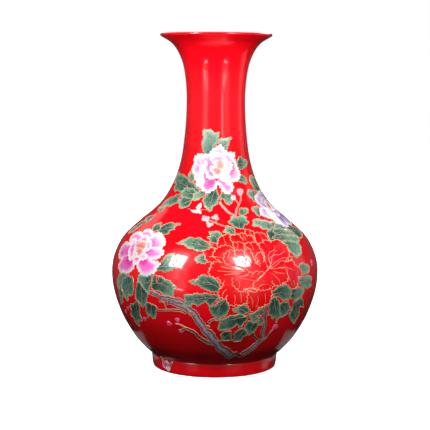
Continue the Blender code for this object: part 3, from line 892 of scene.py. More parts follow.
leftLeaves = {
    "place": (-35, 85),
    "leaves": [
        ([-62, 6, -60, 14, -52, 20, -40, 22, -34, 17, -45, 10, -50, 6, -56, 3],
         [-36, 18, -48, 13, -59, 8], 0.9),
        ([-60, -4, -56, 4, -50, 8, -48, 0, -52, -10, -58, -14], [-50, 6, -54, -3, -58, -12], 0.9),
        ([-25, 14, -27, 5, -28, 1, -32, 0, -36, -1, -38, -5, -41, -7, -44, -5, -47, -2, -49, 3, -49,
          10, -45, 16, -36, 20, -28, 20], [-28, 16, -36, 6, -42, -5], 0.7),
        ([-22, 0, -24, -6, -29, -8, -34, -10, -38, -13, -35, -15, -38, -20, -40, -23, -36, -26, -35,
          -31, -31, -36, -28, -34, -27, -29, -25, -26, -22, -28, -20, -26, -22, -21, -21, -15, -20,
          -8], [-21, -3, -28, -20, -31, -34], 0.2),
        ([-20, 15, -22, 8, -24, 2, -24, -1, -21, -4, -18, -7, -14, -11, -11, -8, -8, -3, -6, 2, -5, 8,
          -8, 12, -12, 15, -16, 18], [-14, 16, -14, 4, -14, -10], 0.1),
        ([-10, -6, -11, -14, -9, -19, -6, -18, -4, -21, 0, -21, 1, -16, 3, -12, 5, -9, 0, -5, -5, -4],
         [-2, -6, -4, -13, -5, -20], 0.1),
        ([-18, 24, -10, 24, -4, 24, 1, 24, -1, 17, -3, 10, -4, 6, -8, 8, -12, 13, -18, 16],
         [0, 22, -6, 16, -17, 19], 0.4),
        ([1, 22, 4, 25.5, 9, 25, 15, 23, 20, 21, 24, 19, 28, 15.5, 26, 11, 25, 7, 22, 5, 18, 6, 14, 7,
          10, 9, 6, 11, 3, 9, 0, 12], [1, 16, 9, 18, 18, 15, 25, 8], 0.2),
    ],
    "holes": [[5.6, 21, 6, 18.8, 7.4, 19.4, 8.6, 22, 7.4, 23.8, 6, 23.2]],
}
peonySideLeaf = {
    "lighter": -0.6,
    "place": (-27, 110),
    "leaves": [
        ([-8, 12, -3, 19, 0, 23, 7, 23, 11, 19, 9, 12, 7, 6, -2, 4, -12, 6, -10, 10],
         [-10, 7, -2, 11, 6, 21], 0.95),
    ],
}
centreLeaves = {
    "place": (-6, 98),
    "leaves": [
        ([-15, 9, -8, 10, -5, 13, 1, 15.5, 8, 13.5, 13, 11, 16.5, 5, 19, 0, 13, -1.5, 8, -0.5, 3, 0.5,
          -2, 4, -8, 5.5], [18, 1, 7, 7.5, -3, 8.5, -13, 9], 0.1),
    ],
}
rootLeaves = {
    "place": (14, 62),
    "leaves": [
        ([-58, 22, -55, 25, -58, 31, -50, 33, -40, 34, -30, 34, -24, 32, -20, 27, -25, 26, -28, 24,
          -31, 21, -34, 24, -35, 27, -38, 24, -42, 21.5, -46, 23, -50, 21],
         [-21, 29, -38, 29.5, -57, 23], 0.1),
        ([-17, 30, -22, 25, -28, 22, -32, 18, -29, 14, -26, 10, -23, 5.5, -20, 7, -18, 9, -15, 11, -12,
          15, -12, 20, -13, 26], [-16, 28, -22, 20, -23, 12, -21, 7], 0.1),
        ([23, 8, 26, 5, 26, 0, 24, -3, 21, 0, 20, 5], [23, 7, 23, 2, 24, -2], 0.2),
        ([-8, 17, -5, 20, 0, 22, 4, 22, 8, 18, 8, 14, 3, 11, -2, 13, -6, 15],
         [7, 13, 1, 17, -6, 18], 0.2),
        ([-17, -12, -16, -18, -10, -20, -6, -18, -7, -12, -8, -7, -14, -7],
         [-8, -8, -11, -13, -15, -18], 0.1),
        ([0, -5, 5, -5, 9, -8, 9, -13, 6, -16, 4, -20, 1, -21, -2, -22, -4, -18, -4, -12],
         [6, -7, 2, -13, -1, -20], 0.2),
        ([8, 4, 12, 3, 16, 3, 19, 1, 20, -4, 18, -8, 15, -10, 13, -14, 11, -12, 9, -8, 6, -5],
         [17, 2, 13, -4, 12, -12], 0.1),
        ([9, 12, 13, 13, 17, 14, 22, 17, 26, 19, 25, 12, 22, 9, 19, 9, 20, 4, 16, 1, 12, 3, 10, 8],
         [24, 16, 17, 9, 13, 4], 0.2),
        ([7, 10, 0, 12, -8, 11, -14, 9, -19, 6, -21, 1, -20, -5, -18, -7, -16, -6, -12, -4, -9, -5, -5,
          -2, -3, 1, 0, -3, 3, -1, 7, 5], [6, 9, -5, 7, -13, 4, -19, -1], 0.1),
    ],
    "holes": [[-24, 28.4, -25.3, 27, -24, 25.6, -22.7, 27]],
}
rightLeaves = {
    "place": (42, 80),
    "leaves": [
        ([18, 34, 22, 37, 27, 38.5, 32, 37, 38, 35, 41, 32, 37, 28, 30, 27, 24, 28, 20, 31],
         [19, 33, 30, 32, 40, 32], 0.8),
        ([16, 24, 22, 25, 30, 25, 40, 24, 45, 21, 43, 17, 45, 13, 38, 11, 30, 12, 24, 15, 17, 19],
         [17, 21, 30, 19, 44, 17], 0.9),
        ([12, 0, 20, 3, 27, 2, 30, -2, 32, -5, 34, -9, 27, -8, 24, -9, 28, -14, 27, -20, 25, -26, 20,
          -25, 16, -22, 14, -19, 10, -17, 9, -13, 11, -9, 12, -5], [14, 0, 19, -9, 23, -24], 0.2),
        ([4, 14, 10, 15.5, 16, 15, 22, 14.5, 27, 12, 28, 8, 24, 5, 20, 3, 12, 3, 5, 5],
         [4, 9, 14, 10, 26, 8], 0.3),
        ([-20, 7, -22, 0, -21, -6, -20, -10, -17, -11, -14, -15, -10, -14, -7, -20, -5, -16, -3, -12,
          -5, -6, -8, 0, -12, 6, -16, 9], [-17, 7, -13, -4, -8, -17], 0.1),
        ([-9, 0, -3, 3, 3, 1, 7, -4, 10, -8, 6, -9, 5, -12, 0, -15, -4, -13, -6, -8],
         [-7, 0, 0, -5, 4, -12], 0.2),
        ([-20, 14, -17, 17, -12, 19.5, -6, 20.5, 0, 19, 4, 15, 6, 10, 5, 6, 2, 4, -3, 4, -8, 6, -12, 9,
          -17, 10, -21, 12], [-20, 12, -8, 12.5, 5, 8], 0.1),
    ],
}

redPeony = {
    "place": (25, 113.5), "finish": "scarletEnamel", "wave": (1.5, 4.3),
    "petals": [
        ([-46, 33, -43, 34, -40, 32.5, -38, 33.5, -36, 31], (-34, 26)),
        ([-6, 44, -4, 50, 0, 49, 3, 47, 4, 45, 2, 42], (3, 31)),
        ([2, 34, 3, 42, 5, 45, 9, 45, 13, 44.5, 15.5, 42, 16, 39, 17, 36, 17, 32], (6, 28)),
        ([-14, 38, -14, 43, -12, 45, -8, 45, -6, 44, -5, 41.5, -2, 42, 1, 41, 1.5, 37, 0, 32],
         (-4, 26)),
        ([-24, 36, -23, 39, -24, 42, -20, 43, -17, 43.5, -14, 44.5, -13, 42, -11, 36], (-12, 26)),
        ([-39, 29, -38, 33, -36, 37, -34, 40, -31, 42, -28, 43, -25, 45, -22, 44, -23, 41, -24, 37,
          -23, 33], (-20, 24)),
        ([-45, 28, -50, 25.5, -55, 23.5, -54, 19, -54, 15, -51, 13, -46, 11], (-34, 15)),
        ([-38, 12, -42, 15, -45, 17, -46, 20, -44, 23, -42, 26, -38, 28, -34, 30, -30, 30.5, -26, 28.5,
          -23, 25], (-24, 12)),
        ([-23, 23, -23, 30, -22, 33.5, -18, 34, -14, 33.5, -12, 30, -12, 25], (-15, 18)),
        ([-13, 25, -11, 31, -8, 33, -4, 32.5, 0, 33.5, 2, 32, 3, 29, 5, 26, 4, 22], (-3, 12)),
        ([21, 24, 19, 30, 18.5, 33, 14, 34, 11, 35, 8, 32, 4, 31, 4, 24], (9, 10)),
        ([19, 32, 22, 33, 27, 34, 31, 33, 33, 30, 35, 28, 38, 26, 39, 23, 38, 21, 40, 19, 39, 16, 37,
          14, 34, 9], (10, 9)),
        ([30, 9, 37, 9, 41, 10, 43, 8, 44, 5, 47, 3, 50, 1, 53, -1, 55, -4, 54, -7, 50, -8, 45, -8, 36,
          -7], (20, 2)),
        ([48, -7, 49, -12, 47, -16, 44, -18.5, 40, -19, 36, -18, 33, -15, 30, -13, 25, -12], (24, -4)),
        ([-30, 7, -34, 11, -36, 13, -36, 16, -35, 19, -33, 22, -30, 24, -27, 25, -24, 23.5, -24, 20,
          -22, 16], (-16, 4)),
        ([-24, 21, -22, 25, -19, 24, -16, 24, -14, 21, -13, 16], (-15, 8)),
        ([-14, 18, -14, 22, -12, 25, -10, 27, -8, 26, -7, 22, -6, 18, -6, 14], (-9, 8)),
        ([-40, 12, -45, 13, -49, 10, -51, 6, -53, 2, -51, -1, -47, -3, -42, -3, -37, -2, -34, -2.5,
          -29, -5], (-14, 4)),
        ([-43, -2, -44, -3.5, -42, -6, -40, -9, -36, -10], (-26, -2)),
        ([-38, -6, -39, -9, -40, -12, -43, -14, -44, -18, -43, -21, -40, -23, -36, -24, -33, -22],
         (-24, -4)),
        ([-35, -20, -36, -24, -34, -28, -32, -30, -28, -31, -25, -29.5, -23, -31, -19, -30, -16, -28.5,
          -14, -24, -14, -18], (-18, -8)),
        ([-16, -12, -14, -19, -15, -23, -14, -27, -14, -31, -12, -35, -9, -38, -6, -39, -3, -38, -2,
          -35, 1, -34, 4, -34, 5, -31.5, 8, -32, 10, -30, 11, -26, 12, -21, 10, -17, 8, -12], (0, -4)),
        ([-30, -3, -30, -9, -28, -12, -25, -14.5, -22, -17, -18, -15.5, -14, -14, -10, -14, -7, -11,
          -5, -6], (-14, 0)),
        ([-8, -8, -9, -11, -8, -15, -3, -16, 2, -17, 7, -16, 12, -15, 15, -12, 14, -7], (2, -1)),
        ([12, -8, 13, -11, 16, -13, 20, -13.5, 24, -13.5, 26, -11, 29, -11, 32, -9, 33, -5, 31, -3, 32,
          -1, 30, 2, 26, 3, 21, 4], (9, 0)),
        ([-3, 15, -2, 19, 1, 21, 4, 21, 5, 18, 5, 15, 4, 11], (1, 7)),
    ],
    "lines": [
        [21, 27, 20, 23, 15, 21, 12, 19, 11, 15], [10, 13, 15, 16, 20, 17.5, 25, 17, 33, 20],
        [5, 26, 7, 20, 6, 14, 8, 6], [9, 4, 5, 1, 2, -1, -2, -4, -5, -7, -10, -6.5, -14, -5, -22, -4],
        [-13, -16, -9, -18, -6, -18, -4, -16, -3, -13, 1, -11, 6, -11.5, 11, -12.5],
        [9, 4, 12, 9, 10, 14], [9, 4, 13, 10, 15, 15, 19, 20, 23, 22],
        [9, 4, 15, 8, 19, 10, 26, 13, 33, 13], [10, 4, 19, 7, 25, 10.5, 30, 10],
        [10, 4, 20, 3.5, 28, 4, 36, 2, 44, -1], [-20, 8, -15, 5, -12, 2, -9, 0, -11, -2, -8, -3],
        [-14, 1, -11, 2.5, -8, 1, -10, -1], [-8, 1, -5, 2.5, -2, 1, -4, -1],
        [-2, 1, 1, 2, 4, 0, 2, -2], [-40, 8, -32, 6, -24, 5, -17, 4],
        [-44, 4, -34, 3, -24, 2.5, -16, 3], [-38, 0, -30, 0.5, -22, 1],
        [14, 1, 20, -1, 27, -2, 31, -3], [12, -1, 17, -5, 21, -9, 22, -13],
        [-24, -6, -23, -10, -24, -14], [-12, -22, -9, -27, -9, -33], [-4, -22, -3, -28, -5, -34],
        [4, -20, 5, -26, 5, -30], [-28, -20, -27, -25, -28, -29], [-22, -18, -21, -24, -21, -28],
        [-36, -14, -39, -17, -40, -21], [-32, 17, -30, 21, -28, 24],
        [31, 9, 34, 12, 38, 13.5, 44, 13, 41, 12, 38, 10, 34, 9, 31, 9], [40, -10, 42, -14, 41, -17],
        [34, -8, 37, -12, 38, -16], [-50, 18, -44, 18, -38, 17], [-20, 28, -18, 31, -19, 33],
        [-4, 24, -4, 29, -5, 32], [10, 30, 10, 38, 9, 43], [-8, 36, -9, 42, -9, 44],
        [-30, 33, -30, 38, -29, 41], [0, 36, 0, 43, -1, 47],
    ],
}
topPeony = {
    "ring": (7, 9.0, 0.5),   # how many, reach (mm), half spread (radians)
    "place": (3, 207), "finish": "paleEnamel", "wave": (1.5, 4.2),
    "petals": [
        ([-9, 16, -7, 22, -5, 25, -1, 27.5, 3, 30, 6, 27, 8, 24, 10, 22, 10, 17], (0, 9)),
        ([8, 22, 11, 22, 15, 22, 19, 21, 19, 18, 18, 15, 19.5, 14, 17, 9], (5, 7)),
        ([18, 14, 21, 10, 22, 6, 25, 1, 25, -3, 22, -8, 16, -9, 11, -9], (5, 1)),
        ([-6, 20, -15, 20, -20, 20, -25, 16, -25.5, 11, -24, 8, -20, 6], (-6, 5)),
        ([-22, 11, -24, 10, -28, 5.5, -27, 1, -24, -3, -25, -6, -22, -9, -23, -12, -19, -14, -16, -12],
         (-8, 1)),
        ([-20, -9, -18, -15, -15, -19, -12, -20, -10, -21.5, -6, -18.5, -3, -17, -1, -14, 0, -9],
         (-6, -2)),
        ([-1, -9, 3, -15, 5, -19, 10, -22, 14, -20, 16.5, -16, 16, -12, 13, -9, 11, -6], (2, -3)),
        ([-12, 14, -14, 10, -16, 6, -14, 2, -10, 0], (-4, 5)),
        ([-8, 14, -6, 18, -3, 22, 3, 22, 8, 19, 10, 14, 8, 9], (1, 8)),
        ([8, 12, 13, 13, 16, 9, 15, 4, 11, 0, 7, 0], (5, 5)),
        ([-12, 2, -11, -4, -7, -6, -3, -5, -1, -1], (-3, 3)),
        ([0, 0, 2, -4, 4, -8, 8, -7, 10, -3, 8, 1], (3, 3)),
        ([-6, 8, -7, 4, -4, 2, -1, 3, 0, 7], (-2, 8)),
    ],
    "hearts": [([-1, 7, 0, 13, 3, 14.5, 6, 13, 8, 8, 5, 5, 2, 5], (3, 6)),
               ([-5, 3, -3, 6, 1, 6, 4, 3, 3, 0, -1, -1, -4, 0], (0, 1))],
}
pinkPeony = {
    "ring": (8, 10.0, 0.46),   # how many, reach (mm), half spread (radians)
    "place": (-50, 128), "finish": "pinkEnamel", "wave": (1.5, 4.2),
    "petals": [
        ([-13, 17, -11, 23, -10, 28, -5, 30, 1, 29, 5, 26.5, 8, 25, 9, 19], (0, 12)),
        ([8, 20, 9, 26, 13, 27.5, 18, 26, 22, 23, 27, 19.5, 31, 14, 30, 10, 24, 7], (9, 10)),
        ([-5, 20, -12, 24, -18, 24, -24, 22, -27, 18, -26, 13, -20, 8], (-6, 9)),
        ([19, 9.5, 26, 9, 30, 8.5, 34, 6, 35, 3, 33, 0, 30, -3, 25, -3.5, 18, -4], (7, 2)),
        ([-18, 9, -26, 8.5, -31, 9, -35, 6, -38, 1, -37.5, -5, -34, -9, -28, -10, -22, -9, -15, -7],
         (-7, 2)),
        ([-24, -7, -29, -14, -30, -18, -27, -20.5, -23, -23, -20, -23.5, -17, -21.5, -13, -22.5, -9,
          -22, -5, -21, -1, -18, 2, -15, 1, -10], (-5, -3)),
        ([3, -9, 9, -16, 13, -19, 17, -20.5, 22, -21, 26, -19, 31, -17, 33, -14, 33, -11, 36, -8, 32,
          -5.5, 27, -5, 21, -3], (3, -4)),
        ([-9, 12, -14, 16, -20, 14, -21, 9, -16, 6], (-7, 7)),
        ([-9, 13, -6, 17, -5, 21, 0, 22.5, 5, 20, 8, 16, 9, 11], (0, 10)),
        ([7, 15, 10, 16.5, 14, 14, 17, 9, 14, 4, 9, 3], (6, 7)),
        ([-15, 6, -17, 2, -13, -4, -9, -8, -6, -8, -4, -2], (-6, 4)),
        ([-5, -4, -2, -9, 3, -11, 8, -9, 9, -4, 6, 0], (2, 1)),
        ([8, 2, 13, 1, 17, 0, 16, -4, 11, -6, 7, -4], (5, 0)),
    ],
    "hearts": [([-8, 8, -4, 12, 3, 13.5, 8, 11, 9, 7, 5, 4, -2, 4, -6, 5], (0, 6)),
               ([-3, 2, 0, 6, 5, 6, 8, 3, 5, -1, 2, -2], (2, 1))],
}
lilacPeony = {
    "ring": (6, 7.5, 0.6),   # how many, reach (mm), half spread (radians)
    "place": (68, 168), "finish": "lilacEnamel", "wave": (1.5, 4.2),
    "petals": [
        ([-14, 14, -12, 19, -6, 22, 0, 24, 7, 24, 14, 22, 18, 18, 17, 12], (2, 7)),
        ([13, 19, 20, 16, 24, 9, 24, 2, 20, -4], (5, 3)),
        ([-4, 21, -13, 19.5, -16, 14, -15, 9, -9, 4], (-1, 5)),
        ([-9, 6, -17, 5.5, -22, 1.5, -26, -4, -22, -8.5, -18, -11, -11, -9], (-3, -1)),
        ([-14, -7, -17, -13, -16, -16, -12, -18.5, -10, -22, -5, -25, 0, -23, 7, -19], (0, -4)),
        ([1, -20, 10, -24, 18, -23, 25, -18, 27, -10, 24, -4, 16, -1], (5, -3)),
        ([-8, 10, -6, 15, 0, 17, 6, 16, 10, 12], (2, 6)),
        ([7, 13, 13, 12, 16, 6, 14, 0, 9, -1], (5, 4)),
        ([-10, 5, -13, 1, -10, -5, -5, -7, -1, -3], (-2, 2)),
        ([-3, -4, 1, -9, 7, -9, 11, -4, 9, 1], (3, 1)),
    ],
    "hearts": [([-3, 5, 0, 9, 5, 10, 8, 7, 6, 2, 1, 1], (3, 4))],
}
backPeony = {
    "place": (180, 140), "finish": "pinkEnamel", "wave": (1.5, 4.2),
    "copies": pinkPeony, "turn": 160, "size": 0.86,
}
backLeaves = {
    "place": (180, 132),
    "leaves": [
        ([24, -4, 30, 4, 38, 9, 46, 8, 53, 12, 62, 10, 70, 3, 62, -2, 58, -8, 50, -8, 44, -14, 36, -12,
          28, -10], [24, -5, 44, -1, 68, 3], 0.2),
        ([-24, -6, -30, 3, -38, 8, -45, 7, -52, 11, -61, 8, -70, 1, -62, -4, -57, -10, -49, -9, -43,
          -15, -35, -14, -28, -11], [-24, -6, -44, -3, -68, 1], 0.4),
        ([14, -18, 22, -20, 30, -24, 36, -32, 38, -42, 32, -40, 28, -44, 22, -38, 18, -36, 15, -28],
         [14, -20, 25, -29, 36, -41], 0.1),
        ([-14, -18, -20, -22, -29, -24, -35, -30, -36, -40, -30, -38, -26, -43, -20, -38, -16, -32],
         [-14, -20, -24, -29, -34, -39], 0.3),
        ([-4, 24, -10, 32, -9, 40, -13, 46, -6, 52, -2, 47, 3, 43, 2, 36, 4, 30],
         [0, 24, -3, 36, -6, 50], 0.6),
    ],
}
backBranch = {
    "place": (180, 132),
    "boughs": [
        ([34, -72, 22, -62, 14, -50, 6, -38, 2, -24, 0, -12], [6.4, 5.8, 5, 4.2, 3.4, 3], 0.9),
        ([14, -50, 2, -54, -12, -52, -26, -56, -36, -52], [2.6, 2.2, 1.4, 0.9], 0.4),
        ([20, -60, 32, -56, 42, -58], [2.2, 1.4, 0.9], 0.3),
    ],
}


def layLeaves(piece, group):
    for flat, rib, tone in group["leaves"]:
        leaf(piece, group["place"], flat, rib, tone=tone + group.get("lighter", 0))
    for flat in group.get("holes", []):
        hole(piece, group["place"], flat)


def layBoughs(piece, group):
    for flat, widths, knotty in group["boughs"]:
        bough(piece, group["place"], flat, widths, knotty, group.get("finish", "barkEnamel"))


peonyWork = {
    "backing": 11.5,   # radius, mm
    # scallops: depth and length, mm
    "backingWave": (0.3, 3.0), "ringWave": (0.8, 2.8), "heartWave": (0.5, 2.4),
    # an inner petal's outline: share of its reach, share of its half spread
    "frill": [(0.45, -0.9), (0.85, -0.95), (1.02, -0.5), (0.96, 0.0), (1.04, 0.5), (0.85, 0.95), (0.45, 0.9)],
    "foldEvery": 9, "foldRun": (0.45, 0.8), "foldBend": 0.06, "shortest": 6,   # rim points, shares, mm
}


def innerRing(piece, group, ring, heart, size):
    # small frilled petals crowding round the heart
    count, reachOut, wide = ring
    for k in range(count):
        a = 2 * math.pi * (k + 0.3 * math.sin(5 * k)) / count + 0.4
        far = size * reachOut * (1 + 0.16 * math.sin(3.1 * k))
        fan = [heart + far * s * np.array([math.cos(a + t * wide), math.sin(a + t * wide)])
               for s, t in peonyWork["frill"]]
        made = petal(piece, group["finish"], group["place"], np.array(fan), heart, peonyWork["ringWave"])
        made["tone"] = 0.62 + 0.3 * math.sin(2.3 * k)


def layPeony(piece, group):
    turnBy, size, source, upright = 0.0, 1.0, group, 1
    if "copies" in group:
        turnBy, size, source, upright = math.radians(group["turn"]), group["size"], group["copies"], -1
    turned = size * np.array([[math.cos(turnBy), math.sin(turnBy)], [-math.sin(turnBy), math.cos(turnBy)]])
    scarlet = group["finish"] == "scarletEnamel"
    if not scarlet:
        # keeps the ground from showing between the inner petals
        middles = [np.mean(np.reshape(flat, (-1, 2)), axis=0) for flat, root in source["hearts"]]
        heart = np.mean(middles, axis=0) @ turned
        around = np.linspace(0, 5.6, 9)
        ring = [heart + size * peonyWork["backing"] * np.array([math.cos(a), math.sin(a)]) for a in around]
        petal(piece, group["finish"], group["place"], ring, heart, peonyWork["backingWave"])
    for finish, key in ((group["finish"], "petals"), ("heartEnamel", "hearts")):
        for flat, root in source.get(key, []):
            rim = np.array(flat, float).reshape(-1, 2) @ turned
            middle = np.mean(rim, axis=0)
            wave = group["wave"] if key == "petals" else peonyWork["heartWave"]
            made = petal(piece, finish, group["place"], rim, np.array(root, float) @ turned, wave)
            tone = 0.45 - upright * middle[1] / 42 + 0.12 * math.sin(7.0 * len(cells))
            if scarlet:
                tone = 0.25 + middle[0] / 45
            made["tone"] = float(np.clip(tone, 0, 1))
            if key == "petals" and "ring" in source and flat is source["petals"][-1][0]:
                innerRing(piece, group, source["ring"], heart, size)
            if not scarlet and key == "petals":
                petalFolds(made)
    for flat in source.get("lines", []):
        strokeOver(piece, group["place"], flat, gauges["rib"])


def petalFolds(cell):
    # a few fine lines from the root part of the way to the rim
    rim, root = cell["rim"], cell["root"]
    for k in range(peonyWork["foldEvery"], len(rim) - 6, peonyWork["foldEvery"]):
        way = rim[k] - root
        if np.linalg.norm(way) > peonyWork["shortest"]:
            bend = np.array([-way[1], way[0]]) * peonyWork["foldBend"] * math.sin(k)
            shares = np.linspace(*peonyWork["foldRun"], 8)
            path = [root + way * s + bend * math.sin(math.pi * s) for s in shares]
            strokeOn(cell, evenly(np.array(path), 0.8), gauges["fold"])


layBoughs("upperTwigs", upperTwigs)
layBoughs("sideTwigs", sideBranch)
layBoughs("mainBranch", frontBranches)
for x, y, size in frontBranches["knots"]:
    ring = [(x + size * 1.7 * math.cos(a), y + size * 1.0 * math.sin(a)) for a in np.linspace(0, 5.5, 8)]
    petal("mainBranch", "knotEnamel", frontBranches["place"], ring, None, (0.1, 3))
layLeaves("rightLeaves", rightLeaves)
layLeaves("rootLeaves", rootLeaves)
layLeaves("centreLeaf", centreLeaves)
layLeaves("leftLeaves", leftLeaves)
layLeaves("peonySideLeaf", peonySideLeaf)
layLeaves("cheekLeaves", cheekLeaves)
layLeaves("shoulderLeavesRight", shoulderLeavesRight)
leaf("shoulderLeavesRight", (45, 185), [10, 20, 17, 20, 23, 17, 29, 11, 29, 5, 27, -1, 17, 1, 12, 5, 9, 12],
     [27, 1, 20, 9, 13, 18], tone=0.6)
layLeaves("shoulderLeaves", shoulderLeaves)
layLeaves("throatLeaves", throatLeaves)
layLeaves("collarLeaves", collarLeaves)
layLeaves("neckLeaves", neckLeaves)
layPeony("lilacPeony", lilacPeony)
layPeony("pinkPeony", pinkPeony)
layPeony("topPeony", topPeony)
layPeony("redPeony", redPeony)
for at, size, heading, lobes in [((-19, 6), 7.5, 30, 4), ((-9, 8), 7.0, 70, 3), ((-16, -2), 6.6, 10, 3)]:
    blossom("blossomBuds", (8, 160), at, size, heading, lobes)
bud("blossomBuds", (8, 160), (20, 38), 8.0, 85, "blossomEnamel")
bud("blossomBuds", (8, 160), (12, 32), 6.0, 125, "blossomEnamel")
for at, size, heading in [((-16, -24), 4.6, 220), ((-44, -17), 5.0, 110), ((-52, -22), 4.6, 120),
                          ((15, -25), 5.6, 165), ((25, -20), 5.0, 110), ((26, -33), 5.2, 190)]:
    bud("blossomBuds", (-35, 85), at, size, heading)
bud("blossomBuds", (42, 80), (-7, -26), 6.4, 60)
bud("blossomBuds", (14, 62), (42, -7), 6.4, 50)
bud("blossomBuds", (50, 140), (35, -28), 6.4, 60)
butterfly = {
    "place": (8, 160),
    "wings": [([-28, 20, -25, 24, -22, 26, -22, 22, -24, 19], (-26, 17)),
              ([-34, 17, -32, 14.5, -28, 13.5, -26, 14, -24, 17], (-25, 18)),
              ([-26, 16, -25, 13, -23, 13, -23, 16], (-24, 18))],
    "feelers": [[-24, 17.5, -20, 18.2, -15, 17.5], [-33, 17, -36, 18.5, -38, 18]],
}
for flat, root in butterfly["wings"]:
    petal("butterfly", "paleEnamel", butterfly["place"], flat, root, (0.2, 3), tone=0.0)
for flat in butterfly["feelers"]:
    strokeOver("butterfly", butterfly["place"], flat, gauges["feeler"])
footSprig = {
    "place": (-47, 9.0),
    "leaves": [([-4, 1, -6, 5, -9, 8, -8, 4, -6, 0], [-5, 1, -8, 7], 0.9),
               ([2, -1, 5, 3, 8, 4, 6, 0, 4, -3], [3, -2, 7, 3], 0.5)],
    "petals": [("budEnamel", [-8, 1, -7, -3, -3, -5, 0, -4], (2, -1)),
               ("paleEnamel", [-3, 3, 0, 4, 3, 2], (1, -2)),
               ("pinkEnamel", [-3, -4, 1, -7, 4, -5, 4, -2], (1, -1))],
}
for flat, rib, tone in footSprig["leaves"]:
    leaf("footSprig", footSprig["place"], flat, rib, False, tone=tone)
for finish, flat, root in footSprig["petals"]:
    petal("footSprig", finish, footSprig["place"], flat, root, (0.3, 2.4))
layBoughs("backBranch", backBranch)
layLeaves("backLeaves", backLeaves)
layPeony("backPeony", backPeony)
for at, heading in (((-38, -52), 190), ((44, -58), 0)):
    bud("backBranch", backBranch["place"], at, 5.2, heading)
print("cells drawn:", len(cells), "strokes:", len(strokes))

enamel = {
    "grain": 1.05,   # spacing of the mesh inside a cell, mm
    "lift": 0.22,   # edge of a cell above the glaze, mm
    "dome": 0.07,   # how much more the middle stands
    "sunk": 0.35,   # underside below the glaze, mm
}


def physical(chart):
    # chart points stretched so that distances are about right at their own height
    radius = np.interp(chart[:, 1], bodyArcs, bodyRadii)
    return np.stack([chart[:, 0] * radius / chartRadius, chart[:, 1]], axis=1)


def coveredBy(points, above):
    # which chart points lie under any of these cells
    hidden = np.zeros(len(points), bool)
    for cell in above:
        near = ((points >= cell["low"]) & (points <= cell["high"])).all(axis=1) & ~hidden
        if near.any():
            hidden[near] = insideOf(cell["chart"], points[near])
    return hidden


def triangulate(group):
    # every cell of a group in one mesh, each triangle with the cell that shows there
    points, edges = [], []
    for cell in group:
        start = len(points)
        points.extend(cell["chart"].tolist())
        count = len(cell["chart"])
        edges.extend((start + i, start + (i + 1) % count) for i in range(count))
    rim = np.array(points)
    tree = KDTree(len(rim))
    for i, (x, y, z) in enumerate(chartToBody(rim, 0.0)):
        tree.insert((x, y, z), i)
    tree.balance()
    low, high = rim.min(0), rim.max(0)
    inner = []
    rows = np.arange(low[1], high[1], enamel["grain"] * 0.87)
    for row, arc in enumerate(rows):
        step = enamel["grain"] * chartRadius / np.interp(arc, bodyArcs, bodyRadii)
        across = np.arange(low[0] + 0.5 * step * (row % 2), high[0], step)
        inner.append(np.stack([across, np.full(len(across), arc)], axis=1))
    inner = np.vstack(inner)
    inner = inner[coveredBy(inner, group)]
    clear = [tree.find(p)[2] > 0.45 * enamel["grain"] * mm for p in chartToBody(inner, 0.0)]
    flat = np.vstack([rim, inner[clear]])
    made = delaunay_2d_cdt([Vector(p) for p in flat], edges, [], 0, 1e-5, False)
    spots = np.array([tuple(p) for p in made[0]])
    faces = np.array([f for f in made[2] if len(f) == 3])
    centres = spots[faces].mean(axis=1)
    owner = np.full(len(faces), -1)
    for index, cell in enumerate(group):
        near = np.where(((centres >= cell["low"]) & (centres <= cell["high"])).all(axis=1))[0]
        if len(near):
            owner[near[insideOf(cell["chart"], centres[near])]] = index
    solid = np.array([cell["kind"] != "hole" for cell in group] + [False])
    kept = solid[owner]
    return spots, faces[kept], owner[kept]


def nearestOn(line, points):
    # distance to a polyline and how far along it, for many points
    a, b = line[:-1], line[1:]
    way = b - a
    length = np.maximum((way**2).sum(axis=1), 1e-9)
    best = np.full(len(points), 1e9)
    along = np.zeros(len(points))
    run = runLength(line)
    for i in range(len(a)):
        off = points - a[i]
        t = np.clip(off @ way[i] / length[i], 0, 1)
        gap = off - t[:, None] * way[i]
        far = np.hypot(gap[:, 0], gap[:, 1])
        closer = far < best
        best[closer] = far[closer]
        along[closer] = run[i] + t[closer] * math.sqrt(length[i])
    return best, along


def cellCoordinates(cell, chart, over):
    # the two maps that the enamel's wash follows
    place = cell["place"]
    arc = chart[:, 1]
    turnBy = (chart[:, 0] / chartRadius - math.radians(place[0]) + math.pi) % (2 * math.pi) - math.pi
    flat = np.stack([turnBy * np.interp(arc, bodyArcs, bodyRadii), arc - arcAt(place[1])], axis=1)
    rim = nearestOn(cell["rim"][::2] if len(cell["rim"]) > 12 else cell["rim"], flat)[0]
    if cell["kind"] in ("leaf", "bough"):
        rib = cell["rib"][::3] if len(cell["rib"]) > 12 else cell["rib"]
        across, along = nearestOn(rib, flat)
        if cell["kind"] == "leaf":
            along = along / max(runLength(rib)[-1], 1)
        return np.stack([along, across], axis=1), np.stack([rim, np.full(len(rim), cell["tone"])], axis=1)
    way = flat - cell["root"]
    toRoot = np.hypot(way[:, 0], way[:, 1])
    if len(over):
        # the wash deepens towards whatever lies over the petal
        near = physical(chart)[:, None, :] - physical(over)[None, :, :]
        toRoot = np.minimum(toRoot, np.hypot(near[:, :, 0], near[:, :, 1]).min(axis=1) + 0.6)
    reach = rim / np.maximum(rim + toRoot, 1e-3)
    ray = np.arctan2(way[:, 1], way[:, 0]) * 6.0
    return np.stack([ray, reach], axis=1), np.stack([rim, np.full(len(rim), cell["tone"])], axis=1)


